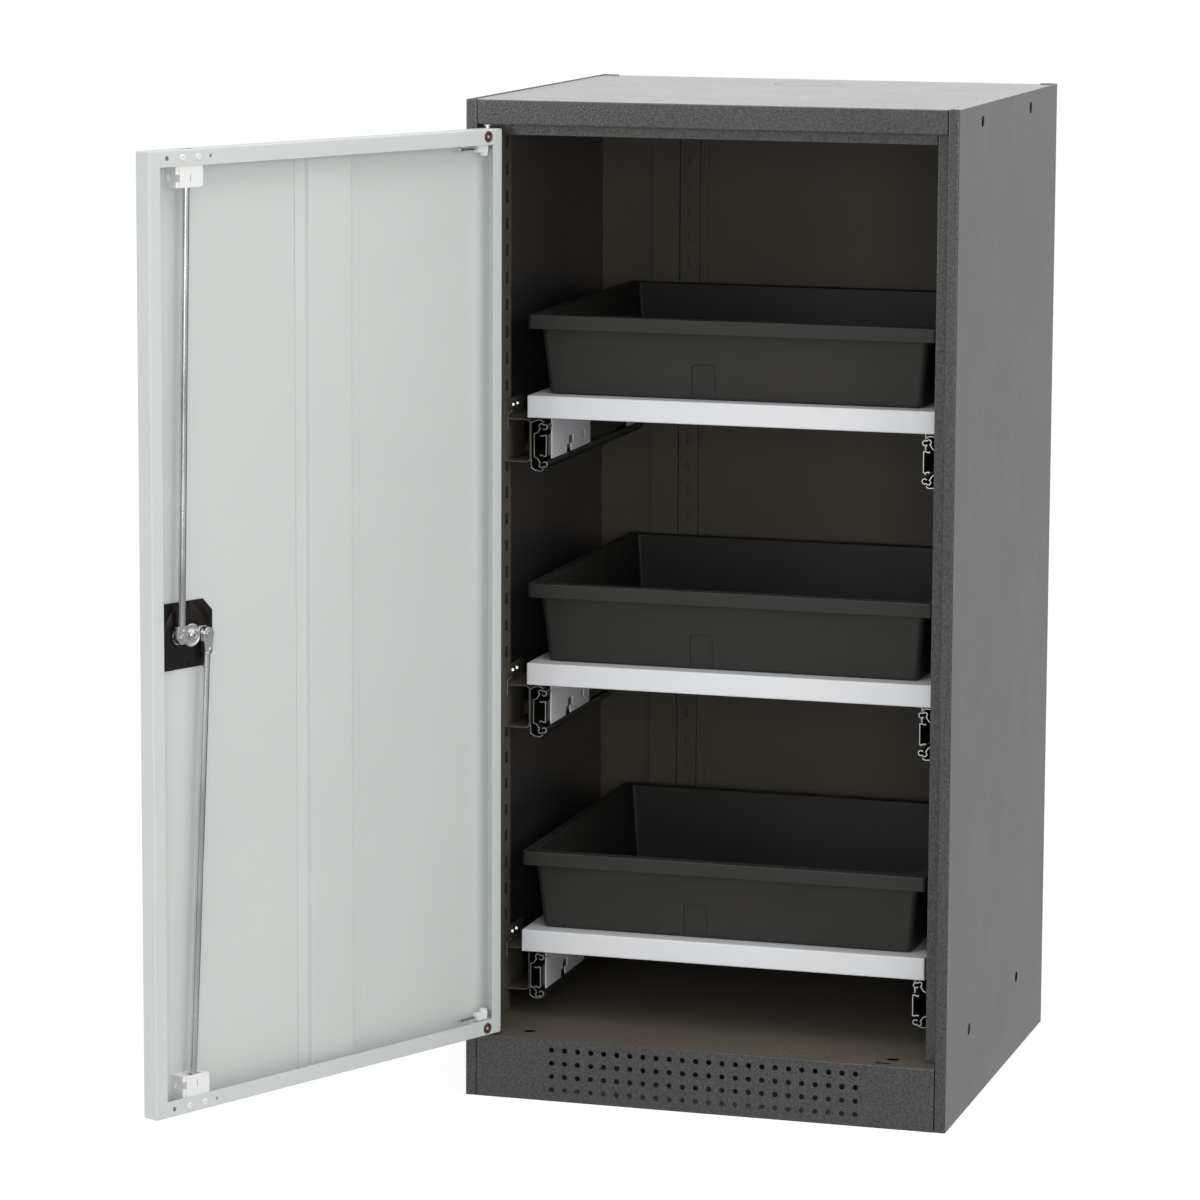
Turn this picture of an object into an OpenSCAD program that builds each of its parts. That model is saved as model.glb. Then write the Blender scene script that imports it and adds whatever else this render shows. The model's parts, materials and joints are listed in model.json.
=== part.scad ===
// Reagent drawer cabinet: a floor-standing steel cabinet with one hinged door,
// a two-point rod lock and three full-extension drawers that carry loose tubs.
// Millimetres. X to the right, Y to the back, Z up. The origin is on the floor,
// under the centre of the cabinet. The door is drawn open, as the cabinet rests.

/* [Cabinet] */
// Width over the two side panels
cabinet_width = 545; // [520:5:600]
// Depth from the front edge to the rear folds
cabinet_depth = 520; // [500:5:560]
// Height from the floor to the top edge
cabinet_height = 1105; // [1080:5:1200]
// Thickness of the folded sheet steel
sheet = 1.2; // [1:0.1:1.5]
// Width of the front fold of each side panel
front_fold = 12.5; // [10:0.5:16]
// How far each door stop lip reaches in from the front fold
stop_lip = 16; // [13:0.5:18]
// Depth of the backward return behind each stop lip
lip_return = 10; // [6:1:14]
// Width of the rear fold of each side panel
rear_fold = 20; // [12:1:30]
// Height of the fascia above the door
fascia_height = 27; // [24:1:40]
// How deep the fascia's top return runs back
fascia_return = 15; // [10:1:18]
// How far the top panel lies below the side panels' top edges
top_recess = 1; // [0.5:0.5:2]
// Height of the folds that stiffen the top and base panels
panel_fold = 20; // [15:1:25]
// How far the upper door stop shows below the fascia
top_stop_drop = 12; // [8:1:16]
// How far the upper door stop rises behind the fascia
top_stop_rise = 20; // [14:1:22]
// Diameter of the duct opening in the top panel
port_d = 76; // [60:1:100]
// Distance of the duct opening's centre from the cabinet's rear
port_inset = 95; // [80:1:120]
// Gap round the disc that closes the duct opening
port_gap = 1; // [0.5:0.1:1.5]

/* [Linking holes in the sides] */
// Diameter of a linking hole
link_d = 13; // [8:0.5:16]
// Front holes' distance from the front edge
link_front = 116; // [110:1:130]
// Rear holes' distance from the rear
link_rear = 150; // [120:1:160]
// Lower holes' height above the floor
link_low = 88; // [80:1:110]
// Upper holes' distance below the top edge
link_high = 19; // [15:1:30]

/* [Plinth and floor] */
// Height of the plinth and of the cabinet floor
plinth_height = 70; // [60:1:100]
// Diameter of a plinth vent hole
vent_d = 6; // [4:0.5:8]
// Spacing of the vent holes, both ways
vent_pitch = 15; // [13:0.5:16]
// Vent holes in a row
vent_columns = 24; // [10:1:28]
// Rows of vent holes
vent_rows = 4; // [2:1:4]
// Height of the lowest row
vent_low = 13; // [10:0.5:13]
// Diameter of a small hole in the floor
strainer_d = 3; // [2:0.5:4]
// Spacing of the small holes along a row
strainer_pitch = 16; // [14:0.5:18]
// Small holes in a row
strainer_columns = 21; // [10:1:22]
// Rows of small holes
strainer_rows = 4; // [1:1:4]
// Distance between the rows of small holes
strainer_row_step = 9.5; // [8:0.5:10]
// Sideways shift from each row to the next
strainer_row_shift = 4.6; // [3:0.2:6]
// First row's distance from the front edge
strainer_front = 15; // [12:0.5:16]
// Width of the flat bars of the plinth frame
frame_bar = 16; // [12:1:17]
// Thickness of the plinth frame's steel
frame_sheet = 3; // [2:0.5:4]
// Levelling feet's distance from the cabinet's sides
foot_inset_x = 65.5; // [60:0.5:80]
// Levelling feet's distance from the front and the rear
foot_inset_y = 31; // [30:0.5:40]
// Diameter of a foot's pad
foot_pad_d = 24; // [18:1:25]
// Height of a foot's pad
foot_pad_height = 6; // [4:0.5:8]
// Diameter of a foot's threaded stud
foot_stud_d = 8; // [6:1:10]
// Height of the bracket that each foot is screwed into
foot_bracket_z = 40; // [25:1:45]
// Diameter of the access hole over each foot
access_d = 14; // [11:0.5:18]

/* [Slotted uprights] */
// Distance of the front uprights from the front edge
upright_setback = 96; // [90:1:100]
// Width of the slotted face of a front upright
upright_face = 28; // [24:1:34]
// How far a front upright stands in from its side panel
upright_depth = 11.3; // [9:0.1:14]
// Width of the fold that joins an upright to its panel
upright_foot = 10; // [8:1:14]
// Distance of the rear uprights from the cabinet's sides
rear_inset = 65.5; // [60:0.5:70]
// Width of the plain front face of a rear upright
rear_face = 33; // [28:1:40]
// Width of the slotted strip of a rear upright
rear_strip = 23; // [18:1:30]
// How far a rear upright stands out from the back panel
rear_depth = 11.6; // [10:0.1:14]
// How far the slotted strip lies behind the plain face
rear_step = 6; // [4:0.5:8]
// Width of a slot in a front upright
front_slot_w = 13; // [8:1:15]
// Height of a slot in a front upright
front_slot_h = 13; // [8:1:16]
// Width of a slot in a rear upright
rear_slot_w = 4; // [3:0.5:5]
// Height of a slot in a rear upright
rear_slot_h = 10; // [8:1:14]
// Spacing of the slots
slot_pitch = 30; // [29:1:31]
// Lowest front slot's height above the floor of the cabinet
slot_low = 15.5; // [12:0.5:30]

/* [Drawers] */
// Height of the lowest drawer's rail above the floor
rail_low = 174; // [170:1:180]
// Slots from one drawer to the next
slots_per_drawer = 10; // [10:1:10]
// Distance of the drawer fronts from the front edge
drawer_setback = 90; // [88:1:100]
// Height of a drawer's front rail
rail_height = 25; // [22:1:28]
// Thickness of the drawer's sheet steel
drawer_sheet = 1.5; // [1:0.1:2]
// Gap between a drawer and the edge of the open door
drawer_side_gap = 1.8; // [1.5:0.1:4]
// Gap between the drawers and the rear uprights
drawer_rear_gap = 8; // [6:0.5:12]
// How far the lowest drawer stands drawn out
lowest_drawn = 16.5; // [0:0.5:40]
// Length of a front hanging plate
hanger_length = 147; // [120:1:160]
// How far the hanging plates reach below the rail
hanger_drop = 49; // [44:1:50]
// Distance of the front hanging plates behind the front of the slides
hanger_setback = 16; // [8:1:24]
// Width of the notch and of the window in a front hanging plate
keyhole_w = 18; // [12:1:22]
// Height of the notch and of the window above it
keyhole_h = 9; // [6:0.5:10]
// How far the window stands behind the notch
keyhole_step = 8; // [4:0.5:10]
// Width of the small slot in a front hanging plate
hanger_slot = 9; // [5:0.5:10]
// Depth of the rail's lower return
rail_return = 15; // [10:1:20]

/* [Tubs] */
// Height of a tub
tub_height = 90; // [60:1:110]
// Height of the rim's outer band
rim_band = 16; // [10:0.5:18]
// How far the rim stands out from the wall
rim_overhang = 10.5; // [7:0.5:12]
// How much each wall leans in from rim to base
tub_draft = 9; // [5:0.5:10]
// Wall thickness of a tub
tub_wall = 3; // [2:0.2:4]
// Corner radius of the rim
rim_corner = 5; // [4:0.5:8]
// Corner radius of the walls
tub_corner = 7; // [5:0.5:10]
// Width of the pocket in the front wall
pocket_w = 27; // [20:1:40]
// Height of the pocket in the front wall
pocket_h = 38; // [20:1:40]
// Pocket's distance to the left of the tub's middle
pocket_off = 34; // [0:1:60]
// Pocket's depth in the wall
pocket_depth = 1.5; // [0.8:0.1:2]
// Pocket's height above the shelf
pocket_low = 3.5; // [3:0.5:6]

/* [Slides] */
// Thickness of a closed slide
slide_thick = 19; // [18:0.5:22]
// Height of a slide
slide_height = 59; // [56:1:64]
// Gap between the drawer rail's lower edge and the slide
slide_drop = 3.5; // [2:0.5:5]
// Setback of the slides behind the drawer fronts
slide_setback = 18; // [10:1:25]
// Gap between a drawer's side and the bracket that holds its slide
slide_side_gap = 1.5; // [1:0.1:3]
// Sheet thickness of the slide members
slide_sheet = 1.6; // [1.2:0.1:1.8]
// Width of the fixed member's folds
outer_fold = 14; // [12:0.5:15]
// Height of the curl at the ends of those folds
outer_curl = 3; // [2:0.2:3]
// Diameter of the balls
ball_d = 3.2; // [2.6:0.1:3.4]
// Clearance above and below each ball
ball_gap = 0.1; // [0.05:0.01:0.15]
// Depth of the ball track folded into the middle member
track_depth = 7.6; // [6.5:0.1:8]
// Thickness of a ball cage
cage_sheet = 0.8; // [0.6:0.05:0.8]
// Length of a ball cage
cage_length = 180; // [120:1:185]
// Balls in each row of a cage
cage_balls = 8; // [4:1:8]
// Height of a slide bracket
bracket_height = 46; // [36:1:48]
// Thickness of a bracket's steel
bracket_sheet = 1.5; // [1.2:0.1:2.5]
// How far a bracket's rear tab reaches across its upright
bracket_tab = 52; // [45:1:60]
// Length of the hook plate at a bracket's front
hook_length = 73; // [65:1:80]
// How far the hook plate ends below the drawer's top
hook_drop = 8; // [6:0.5:12]
// Diameter of the bolt heads on a hook plate
bolt_head_d = 8; // [6:0.5:9]
// Distance of the first bolt from the front edge of its upright
bolt_in = 30; // [25:1:35]
// Spacing of the two bolts
bolt_pitch = 15; // [12:1:16]

/* [Door] */
// How far the door stands open at rest, in degrees
door_open = 116; // [90:1:120]
// Depth of the door pan
door_depth = 20; // [19:0.5:24]
// Gap at each side of the closed door
door_side_gap = 3; // [2.5:0.5:5]
// Gap between the door and the fascia
door_top_gap = 4; // [3.5:0.5:6]
// Gap between the door and the plinth
door_bottom_gap = 3; // [2.5:0.5:5]
// Hinge axis distance from the door's edge
hinge_inset_x = 7.5; // [7:0.5:9]
// Hinge axis distance behind the door's outer face
hinge_inset_y = 5; // [4.5:0.25:6]
// Gap that the door's inner corner keeps to the stop as it swings
swing_gap = 2.2; // [1.5:0.1:4]
// Width of the inner lip on the hinge side
lip_hinge = 14; // [13:0.5:18]
// Width of the inner lip on the free side
lip_free = 15.5; // [14:0.5:20]
// Width of the inner lips at top and bottom
lip_end = 17; // [16:0.5:22]
// Width of the stiffener's crown
stiffener_w = 60; // [40:1:90]
// Height of the stiffener
stiffener_h = 6; // [5:0.5:12]
// Width of the stiffener's feet
stiffener_foot = 15; // [10:1:20]
// Stiffener's distance from the door's middle, towards the free edge
stiffener_off = -9.5; // [-20:0.5:20]
// Distance from the door's top and bottom edges to the rivets
rivet_edge = 8; // [7:0.5:9]

/* [Lock] */
// Lock spindle's distance from the free edge
lock_inset = 64; // [58:1:68]
// Lock spindle's height above the floor
lock_z = 573; // [450:1:700]
// Width and height of the lock housing
housing_size = 70; // [64:1:80]
// Length of the cut at each corner of the housing
housing_cut = 13; // [8:1:18]
// Depth of the housing inside the door
housing_depth = 4.4; // [3:0.1:4.4]
// Diameter of the hole in the door's skin for the housing
housing_neck_d = 40; // [30:1:46]
// Diameter of the lock spindle
spindle_d = 8; // [6:0.5:8]
// Distance from the spindle to each rod's pin
cam_arm = 18; // [17.5:0.5:22]
// Thickness of the cam
cam_thick = 2.8; // [2:0.1:2.8]
// Width of the cam
cam_width = 16; // [12:0.5:18]
// Diameter of the rods' pins
cam_pin_d = 6; // [5:0.25:7]
// Play of the pins in the rod ends, all round
pin_play = 0.05; // [0.02:0.01:0.1]
// Diameter of the locking rods
rod_d = 8; // [6:0.25:8]
// Depth of the rods' centre line behind the door's outer face
rod_depth = 13; // [13:0.25:13.5]
// Gap between the unlocked rods' tips and the door's ends
rod_setback = 4; // [2:0.5:6]
// Diameter of the washer under the nut
washer_d = 24; // [18:0.5:26]
// Thickness of the washer
washer_thick = 1.2; // [0.8:0.1:1.2]
// Size across the flats of the nut on the spindle
nut_af = 12; // [11:0.5:12.5]
// Height of the nut
nut_height = 4.2; // [3:0.1:6]
// Width of a rod end
rod_end_w = 14; // [12:0.5:14]
// Thickness of a rod end
rod_end_thick = 6; // [5:0.25:6.5]
// Length of the turning handle
handle_length = 84; // [60:1:100]
// Width of the turning handle's grip
handle_width = 14; // [10:1:18]
// How far the turning handle stands out from the door
handle_height = 22; // [18:1:30]
// Diameter of the lock cylinder
cylinder_d = 16; // [12:1:18]

/* [Rod guides and hinge pins] */
// Distance of the guides' middle from the free edge
guide_inset = 57; // [54:1:60]
// Width of a rod guide
guide_w = 36.5; // [30:0.5:40]
// How far a rod guide shows beyond the lip
guide_show = 22; // [16:1:30]
// Width of the slot for the rod
guide_slot = 17; // [17:0.5:18]
// Distance of each guide rivet from the guide's middle
rivet_off = 11; // [11:0.5:13]
// Diameter of a hinge pin
hinge_pin_d = 6; // [5:0.25:6.25]
// How far a hinge pin reaches past the door's end
hinge_pin_reach = 8; // [7:0.5:10]
// Length of a hinge pin's shank inside the door
hinge_pin_shank = 26; // [24:1:30]
// Length of the pull lever from the hinge axis
lever_length = 50; // [45:1:70]
// Distance of the pull lever from the lip's edge, inwards
lever_drop = 2; // [1:0.5:4]
// Height and thickness of the pull lever
lever_bar = 4; // [3:0.5:4]
// Length of the plastic grip on the pull lever
grip_length = 15; // [10:1:20]
// Distance of that grip from the door's edge
grip_in = 17; // [17:0.5:22]
// Outer diameter of the bushes that the hinge pins turn in
bush_d = 7.4; // [7.2:0.1:7.5]
// How far the bush's flange stands out all round
bush_flange = 1.2; // [0.8:0.1:1.2]
// Length of a hinge block along the lip
hinge_block_length = 31; // [29:1:40]
// Distance of a hinge rivet from the door's edge
hinge_rivet_in = 22; // [20:0.5:24]
// Diameter of the shanks of the brown hinge rivets
hinge_rivet_d = 5; // [4:0.5:5]
// Diameter of the shanks of the guide rivets
guide_rivet_d = 4; // [3:0.5:4]
// Distance of the spare hole on a guide's free side
spare_free = 32; // [28:1:34]
// Distance of the spare hole on a guide's hinge side
spare_hinge = 28; // [26:1:40]
// Diameter of the spare holes
spare_d = 5; // [3:0.5:6]

/* [Hidden] */
$fn = 48;
cut = 1;                                 // how far a cut reaches past what it opens

// Colours
body_grey = [0.29, 0.28, 0.29];
inner_grey = [0.17, 0.16, 0.14];
door_grey = [0.79, 0.81, 0.80];
rail_white = [0.86, 0.87, 0.88];
zinc = [0.72, 0.74, 0.76];
tub_black = [0.2, 0.2, 0.2];
plastic_white = [0.95, 0.95, 0.94];
plastic_black = [0.09, 0.09, 0.09];
rivet_brown = [0.32, 0.2, 0.14];

// Outline of the cabinet
half_w = cabinet_width / 2;
front_y = -cabinet_depth / 2;
rear_y = cabinet_depth / 2;
web_in = half_w - sheet;                 // inner face of a side panel
fold_in = half_w - front_fold;           // inner edge of a front fold
infill_half = fold_in - 0.5;             // half width of what fills the front opening
lip_in = fold_in - stop_lip;             // inner edge of a stop lip
back_in = rear_y - 2 * sheet;            // inner face of the back panel
frame_gap = 3;                           // plinth frame's sides start so far before the stops
fascia_z = cabinet_height - fascia_height;
top_z = cabinet_height - top_recess;     // upper face of the top panel

// Door in its closed place, and its hinge axis
door_half = fold_in - door_side_gap;
door_in_y = front_y + door_depth;
door_low = plinth_height + door_bottom_gap;
door_high = fascia_z - door_top_gap;
skin_y = front_y + sheet;                // inner face of the door's skin
lip_y = door_in_y - sheet;               // back of the door's inner lips
hinge_x = -door_half + hinge_inset_x;
hinge_y = front_y + hinge_inset_y;
swing_r = sqrt(pow(hinge_inset_x, 2) + pow(door_depth - hinge_inset_y, 2));
stop_y = hinge_y + swing_r + swing_gap;  // front face of the door stops

// Drawers and slides
drawer_half = -hinge_x - swing_r - drawer_side_gap;
drawer_y = front_y + drawer_setback;
rear_face_y = back_in - rear_depth;      // plain front face of a rear upright
drawer_rear = rear_face_y - drawer_rear_gap;
rail_tops = [for (i = [0:2]) rail_low + i * slots_per_drawer * slot_pitch];
drawn = [lowest_drawn, 0, 0];            // how far each drawer stands out at rest
slide_x = drawer_half + slide_side_gap;  // face that carries the fixed slide member
slide_front = drawer_y + slide_setback;
slide_length = drawer_rear - slide_front;
function slide_z(i) = rail_tops[i] - rail_height - slide_drop - slide_height / 2;

// Slide section: half heights of the members and places across the slide
ball_room = ball_d + 2 * ball_gap;
fixed_in = slide_height / 2 - slide_sheet;
mid_out = fixed_in - ball_room;
mid_in = mid_out - track_depth;
inner_out = mid_in - ball_room;
web_gap = 0.4;                           // on each side of a cage's web
mid_u = slide_sheet + cage_sheet + 2 * web_gap;
track_gap = 1.4;                         // from the middle member to the inner one's web
track_u = slide_thick - slide_sheet - track_gap;
inner_u = mid_u + slide_sheet + cage_sheet + web_gap;
track_start = inner_u + 1;               // inner edge of the middle member's track
cage_y = (slide_front + drawer_rear) / 2;
cage_end = 0.8;                          // from a cage's folds to the edge of its track

// Brackets that carry the slides
bracket_lead = 4;                        // how far a bracket starts before its slide
bracket_inset = 1;                       // how far it ends below the slide's top
bracket_clear = 30;                      // how far its folds end before the rear upright
bolt_head_h = 3;

// Uprights
upright_x = web_in - upright_depth;      // slotted face of a front upright
upright_y = front_y + upright_setback;
upright_gap = 4;                         // from an upright to the top panel's folds
upright_high = top_z - panel_fold - upright_gap;
slot_count = floor((upright_high - plinth_height - slot_low) / slot_pitch);

// Lock and rods
lock_x = door_half - lock_inset;
guide_x = door_half - guide_inset;
rod_y = front_y + rod_depth;
ride_gap = 0.2;                          // between faces that turn on each other
cam_y = skin_y + housing_depth + ride_gap;
cam_face = cam_y + cam_thick;
end_y = cam_face + washer_thick + ride_gap;
end_face = end_y + rod_end_thick;
head_thick = 1;                          // thickness of a formed pin head
head_rim = 1;                            // how far that head stands out all round
plate_thick = 3;                         // thickness of the outer handle plate
handle_base = front_y - plate_thick - 0.3;
cylinder_floor = 4;                      // handle left under the lock cylinder
guide_mid = lip_end + guide_show / 2;    // guides' middle from the door's ends
guide_off = guide_x - lock_x;            // the rods lean, because the guides stand aside
lean_upper = atan((cam_arm - guide_off) / (door_high - guide_mid - lock_z));
lean_lower = atan((cam_arm + guide_off) / (lock_z - door_low - guide_mid));
block_length = 12;                       // from the upper rod's pin to the rod itself
taper_length = 19;                       // the same for the lower rod
fork_wall = 0.5;                         // steel that a fork has beside its rod
guide_depth = rod_d + 1;
lever_gap = 5.4;                         // from the door's lips to the pull lever
lever_y = lip_y - lever_gap;
lever_z = lip_end + lever_drop;          // lever's distance from the door's end
bush_length = 6;
rivet_foot = 4;                          // from the door's skin to a rivet's foot
hinge_travel = hinge_pin_reach + 1;      // how far a hinge pin is drawn back
hole_gap = 0.3;                          // round a hinge pin where it passes the door

// Door parts are drawn closed and swung open together
module on_door() {
    translate([hinge_x, hinge_y, 0])
        rotate([0, 0, -door_open])
            translate([-hinge_x, -hinge_y, 0]) children();
}

// Both halves of a pair that is mirrored about the cabinet's middle
module both_sides() {
    children();
    mirror([1, 0, 0]) children();
}

// A block between two corners
module block(a, b) {
    translate(a) cube(b - a);
}

// A round bar along Y, from one depth to another
module bar_y(d, x, z, y0, y1) {
    translate([x, y0, z]) rotate([-90, 0, 0]) cylinder(d = d, h = y1 - y0);
}

// A section drawn across X and Z, run along Y
module run_y(y0, y1) {
    translate([0, y1, 0]) rotate([90, 0, 0]) linear_extrude(y1 - y0) children();
}

module rounded_rect(w, d, r) {
    square([w - 2 * r, d], center = true);
    square([w, d - 2 * r], center = true);
    for (sx = [-1, 1], sy = [-1, 1])
        translate([sx * (w / 2 - r), sy * (d / 2 - r)]) circle(r);
}

// ---- Carcass ----

module side_left() {
    color(body_grey) difference() {
        union() {
            block([-half_w, front_y, 0], [-web_in, rear_y, cabinet_height]);
            block([-half_w, front_y, 0], [-fold_in, front_y + sheet, cabinet_height]);
            block([-fold_in - sheet, front_y, 0], [-fold_in, stop_y + sheet, cabinet_height]);
            block([-half_w, rear_y - sheet, 0], [-half_w + rear_fold, rear_y, cabinet_height]);
            block([-fold_in - sheet, stop_y, plinth_height], [-lip_in, stop_y + sheet, fascia_z]);
            block([-lip_in - sheet, stop_y, plinth_height], [-lip_in, stop_y + lip_return, fascia_z]);
        }
        for (y = [front_y + link_front, rear_y - link_rear],
             z = [link_low, cabinet_height - link_high])
            translate([-half_w - cut, y, z]) rotate([0, 90, 0])
                cylinder(d = link_d, h = sheet + 2 * cut);
    }
}

module side_right() {
    mirror([1, 0, 0]) side_left();
}

module back_panel() {
    color(inner_grey)
        block([-web_in, back_in, 0], [web_in, back_in + sheet, top_z]);
}

module top_panel() {
    color(body_grey) difference() {
        union() {
            block([-infill_half, front_y + fascia_return, top_z - sheet],
                  [infill_half, stop_y + panel_fold, top_z]);
            block([-web_in, stop_y + sheet, top_z - sheet], [web_in, back_in, top_z]);
            both_sides()
                block([-web_in, stop_y + sheet, top_z - panel_fold],
                      [-web_in + sheet, back_in, top_z]);
            block([-web_in, back_in - sheet, top_z - panel_fold], [web_in, back_in, top_z]);
        }
        translate([0, rear_y - port_inset, top_z - sheet - cut])
            cylinder(d = port_d, h = sheet + 2 * cut);
    }
}

// Disc that closes the duct opening, with a wider flange under the panel
module port_cap() {
    flange = 5;
    color(body_grey) translate([0, rear_y - port_inset, top_z - sheet]) {
        cylinder(d = port_d - 2 * port_gap, h = sheet);
        translate([0, 0, -sheet]) cylinder(d = port_d + 2 * flange, h = sheet);
    }
}

module fascia() {
    color(body_grey) difference() {
        union() {
            block([-infill_half, front_y, fascia_z], [infill_half, front_y + sheet, cabinet_height]);
            block([-infill_half, front_y, cabinet_height - sheet],
                  [infill_half, front_y + fascia_return, cabinet_height]);
            block([-infill_half, front_y, fascia_z], [infill_half, stop_y, fascia_z + sheet]);
        }
        bush_hole(fascia_z);
        keeper_slot(fascia_z - cut, fascia_z + sheet + cut);
    }
}

// Hole in a sheet for the bush of a hinge pin
module bush_hole(z) {
    translate([hinge_x, hinge_y, z - cut]) cylinder(d = bush_d, h = sheet + 2 * cut);
}

// Slot that a locking rod enters
module keeper_slot(z0, z1) {
    block([guide_x - guide_slot / 2, rod_y - guide_depth / 2, z0],
          [guide_x + guide_slot / 2, rod_y + guide_depth / 2, z1]);
}

module top_stop_rail() {
    low = fascia_z - top_stop_drop;
    color(body_grey) {
        block([-lip_in, stop_y, low], [lip_in, stop_y + sheet, fascia_z + top_stop_rise]);
        block([-lip_in, stop_y, low], [lip_in, stop_y + panel_fold, low + sheet]);
    }
}

module base_panel() {
    floor_z = plinth_height - sheet;
    color(inner_grey) difference() {
        union() {
            block([-infill_half, front_y + sheet, floor_z],
                  [infill_half, stop_y + panel_fold, plinth_height]);
            block([-web_in, stop_y + sheet, floor_z], [web_in, back_in, plinth_height]);
            both_sides()
                block([-web_in, stop_y + sheet, plinth_height - panel_fold],
                      [-web_in + sheet, back_in, plinth_height]);
        }
        for (j = [0:strainer_rows - 1], i = [0:strainer_columns - 1])
            translate([(i - (strainer_columns - 1) / 2) * strainer_pitch
                           + (j - (strainer_rows - 1) / 2) * strainer_row_shift,
                       front_y + strainer_front + j * strainer_row_step, floor_z - cut])
                cylinder(d = strainer_d, h = sheet + 2 * cut);
        at_feet() translate([0, 0, floor_z - cut]) cylinder(d = access_d, h = sheet + 2 * cut);
        bush_hole(floor_z);
        keeper_slot(floor_z - cut, plinth_height + cut);
    }
}

module plinth_panel() {
    flange_y = stop_y - frame_gap - 1;
    color(body_grey) difference() {
        union() {
            block([-infill_half, front_y, 0], [infill_half, front_y + sheet, plinth_height]);
            both_sides()
                block([-infill_half, front_y, frame_sheet],
                      [-infill_half + sheet, flange_y, plinth_height - sheet]);
        }
        for (i = [0:vent_columns - 1], j = [0:vent_rows - 1])
            bar_y(vent_d, (i - (vent_columns - 1) / 2) * vent_pitch,
                  vent_low + j * vent_pitch, front_y - cut, front_y + sheet + cut);
    }
}

module at_feet() {
    for (sx = [-1, 1], sy = [-1, 1])
        translate([sx * (half_w - foot_inset_x), sy * (rear_y - foot_inset_y), 0]) children();
}

// Flat bars on the floor, two upright sides that carry the cabinet floor,
// and a bracket for each levelling foot
module plinth_frame() {
    side_x = infill_half - frame_sheet;
    foot_y = rear_y - foot_inset_y;
    bracket_x = half_w - foot_inset_x - foot_pad_d / 2;
    color(inner_grey) difference() {
        union() {
            difference() {
                block([-infill_half, front_y + sheet, 0], [infill_half, back_in, frame_sheet]);
                block([-infill_half + frame_bar, front_y + sheet + frame_bar, -cut],
                      [infill_half - frame_bar, back_in - frame_bar, frame_sheet + cut]);
            }
            both_sides() {
                block([side_x, stop_y - frame_gap, 0],
                      [infill_half, back_in, plinth_height - sheet]);
                for (y = [-foot_y, foot_y])
                    block([bracket_x, y - foot_pad_d / 2, foot_bracket_z],
                          [side_x + cut, y + foot_pad_d / 2, foot_bracket_z + frame_sheet]);
            }
        }
        at_feet() translate([0, 0, foot_bracket_z - cut])
            cylinder(d = foot_stud_d, h = frame_sheet + 2 * cut);
    }
}

module levelling_feet() {
    spare = 8;                           // thread above the bracket
    color(zinc) at_feet() {
        cylinder(d = foot_pad_d, h = foot_pad_height);
        cylinder(d = foot_stud_d, h = foot_bracket_z + frame_sheet + spare);
    }
}

// Hat section on the side panel with a row of slots in its face
module upright_front_left() {
    y0 = upright_y;
    y1 = upright_y + upright_face;
    color(inner_grey) difference() {
        union() {
            block([-upright_x - sheet, y0, plinth_height], [-upright_x, y1, upright_high]);
            for (y = [y0, y1 - sheet])
                block([-web_in, y, plinth_height], [-upright_x, y + sheet, upright_high]);
            for (y = [y0 - upright_foot, y1 - sheet])
                block([-web_in, y, plinth_height],
                      [-web_in + sheet, y + upright_foot + sheet, upright_high]);
        }
        for (k = [0:slot_count - 1])
            block([-upright_x - sheet - cut, (y0 + y1 - front_slot_w) / 2, slot_bottom(k)],
                  [-upright_x + cut, (y0 + y1 + front_slot_w) / 2,
                   slot_bottom(k) + front_slot_h]);
    }
}

function slot_bottom(k) = plinth_height + slot_low + k * slot_pitch;

module upright_front_right() {
    mirror([1, 0, 0]) upright_front_left();
}

// Stepped section on the back panel: a plain face, then a slotted strip with
// its slots half a pitch above the front ones
module upright_rear_left() {
    x0 = -half_w + rear_inset;
    x1 = x0 + rear_face;
    x2 = x1 + rear_strip;
    strip_y = rear_face_y + rear_step;
    color(inner_grey) difference() {
        union() {
            block([x0, rear_face_y, plinth_height], [x0 + sheet, back_in, upright_high]);
            block([x0 - upright_foot, back_in - sheet, plinth_height],
                  [x0 + sheet, back_in, upright_high]);
            block([x0, rear_face_y, plinth_height], [x1, rear_face_y + sheet, upright_high]);
            block([x1 - sheet, rear_face_y, plinth_height], [x1, strip_y + sheet, upright_high]);
            block([x1 - sheet, strip_y, plinth_height], [x2, strip_y + sheet, upright_high]);
            block([x2 - sheet, strip_y, plinth_height], [x2, back_in, upright_high]);
            block([x2 - sheet, back_in - sheet, plinth_height],
                  [x2 + upright_foot, back_in, upright_high]);
        }
        for (k = [0:slot_count - 2]) {
            z = slot_bottom(k) + slot_pitch / 2;
            block([(x1 + x2 - rear_slot_w) / 2, strip_y - cut, z],
                  [(x1 + x2 + rear_slot_w) / 2, strip_y + sheet + cut, z + rear_slot_h]);
        }
    }
}

module upright_rear_right() {
    mirror([1, 0, 0]) upright_rear_left();
}

// Flanged bush for a hinge pin, its barrel upwards from z = 0
module hinge_bush() {
    difference() {
        union() {
            cylinder(d = bush_d, h = bush_length);
            translate([0, 0, -bush_flange])
                cylinder(d = bush_d + 2 * bush_flange, h = bush_flange);
        }
        translate([0, 0, -bush_flange - cut])
            cylinder(d = hinge_pin_d + 2 * pin_play, h = bush_flange + bush_length + 2 * cut);
    }
}

module hinge_bushes() {
    color(zinc) {
        translate([hinge_x, hinge_y, fascia_z]) hinge_bush();
        translate([hinge_x, hinge_y, plinth_height]) mirror([0, 0, 1]) hinge_bush();
    }
}

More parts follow.
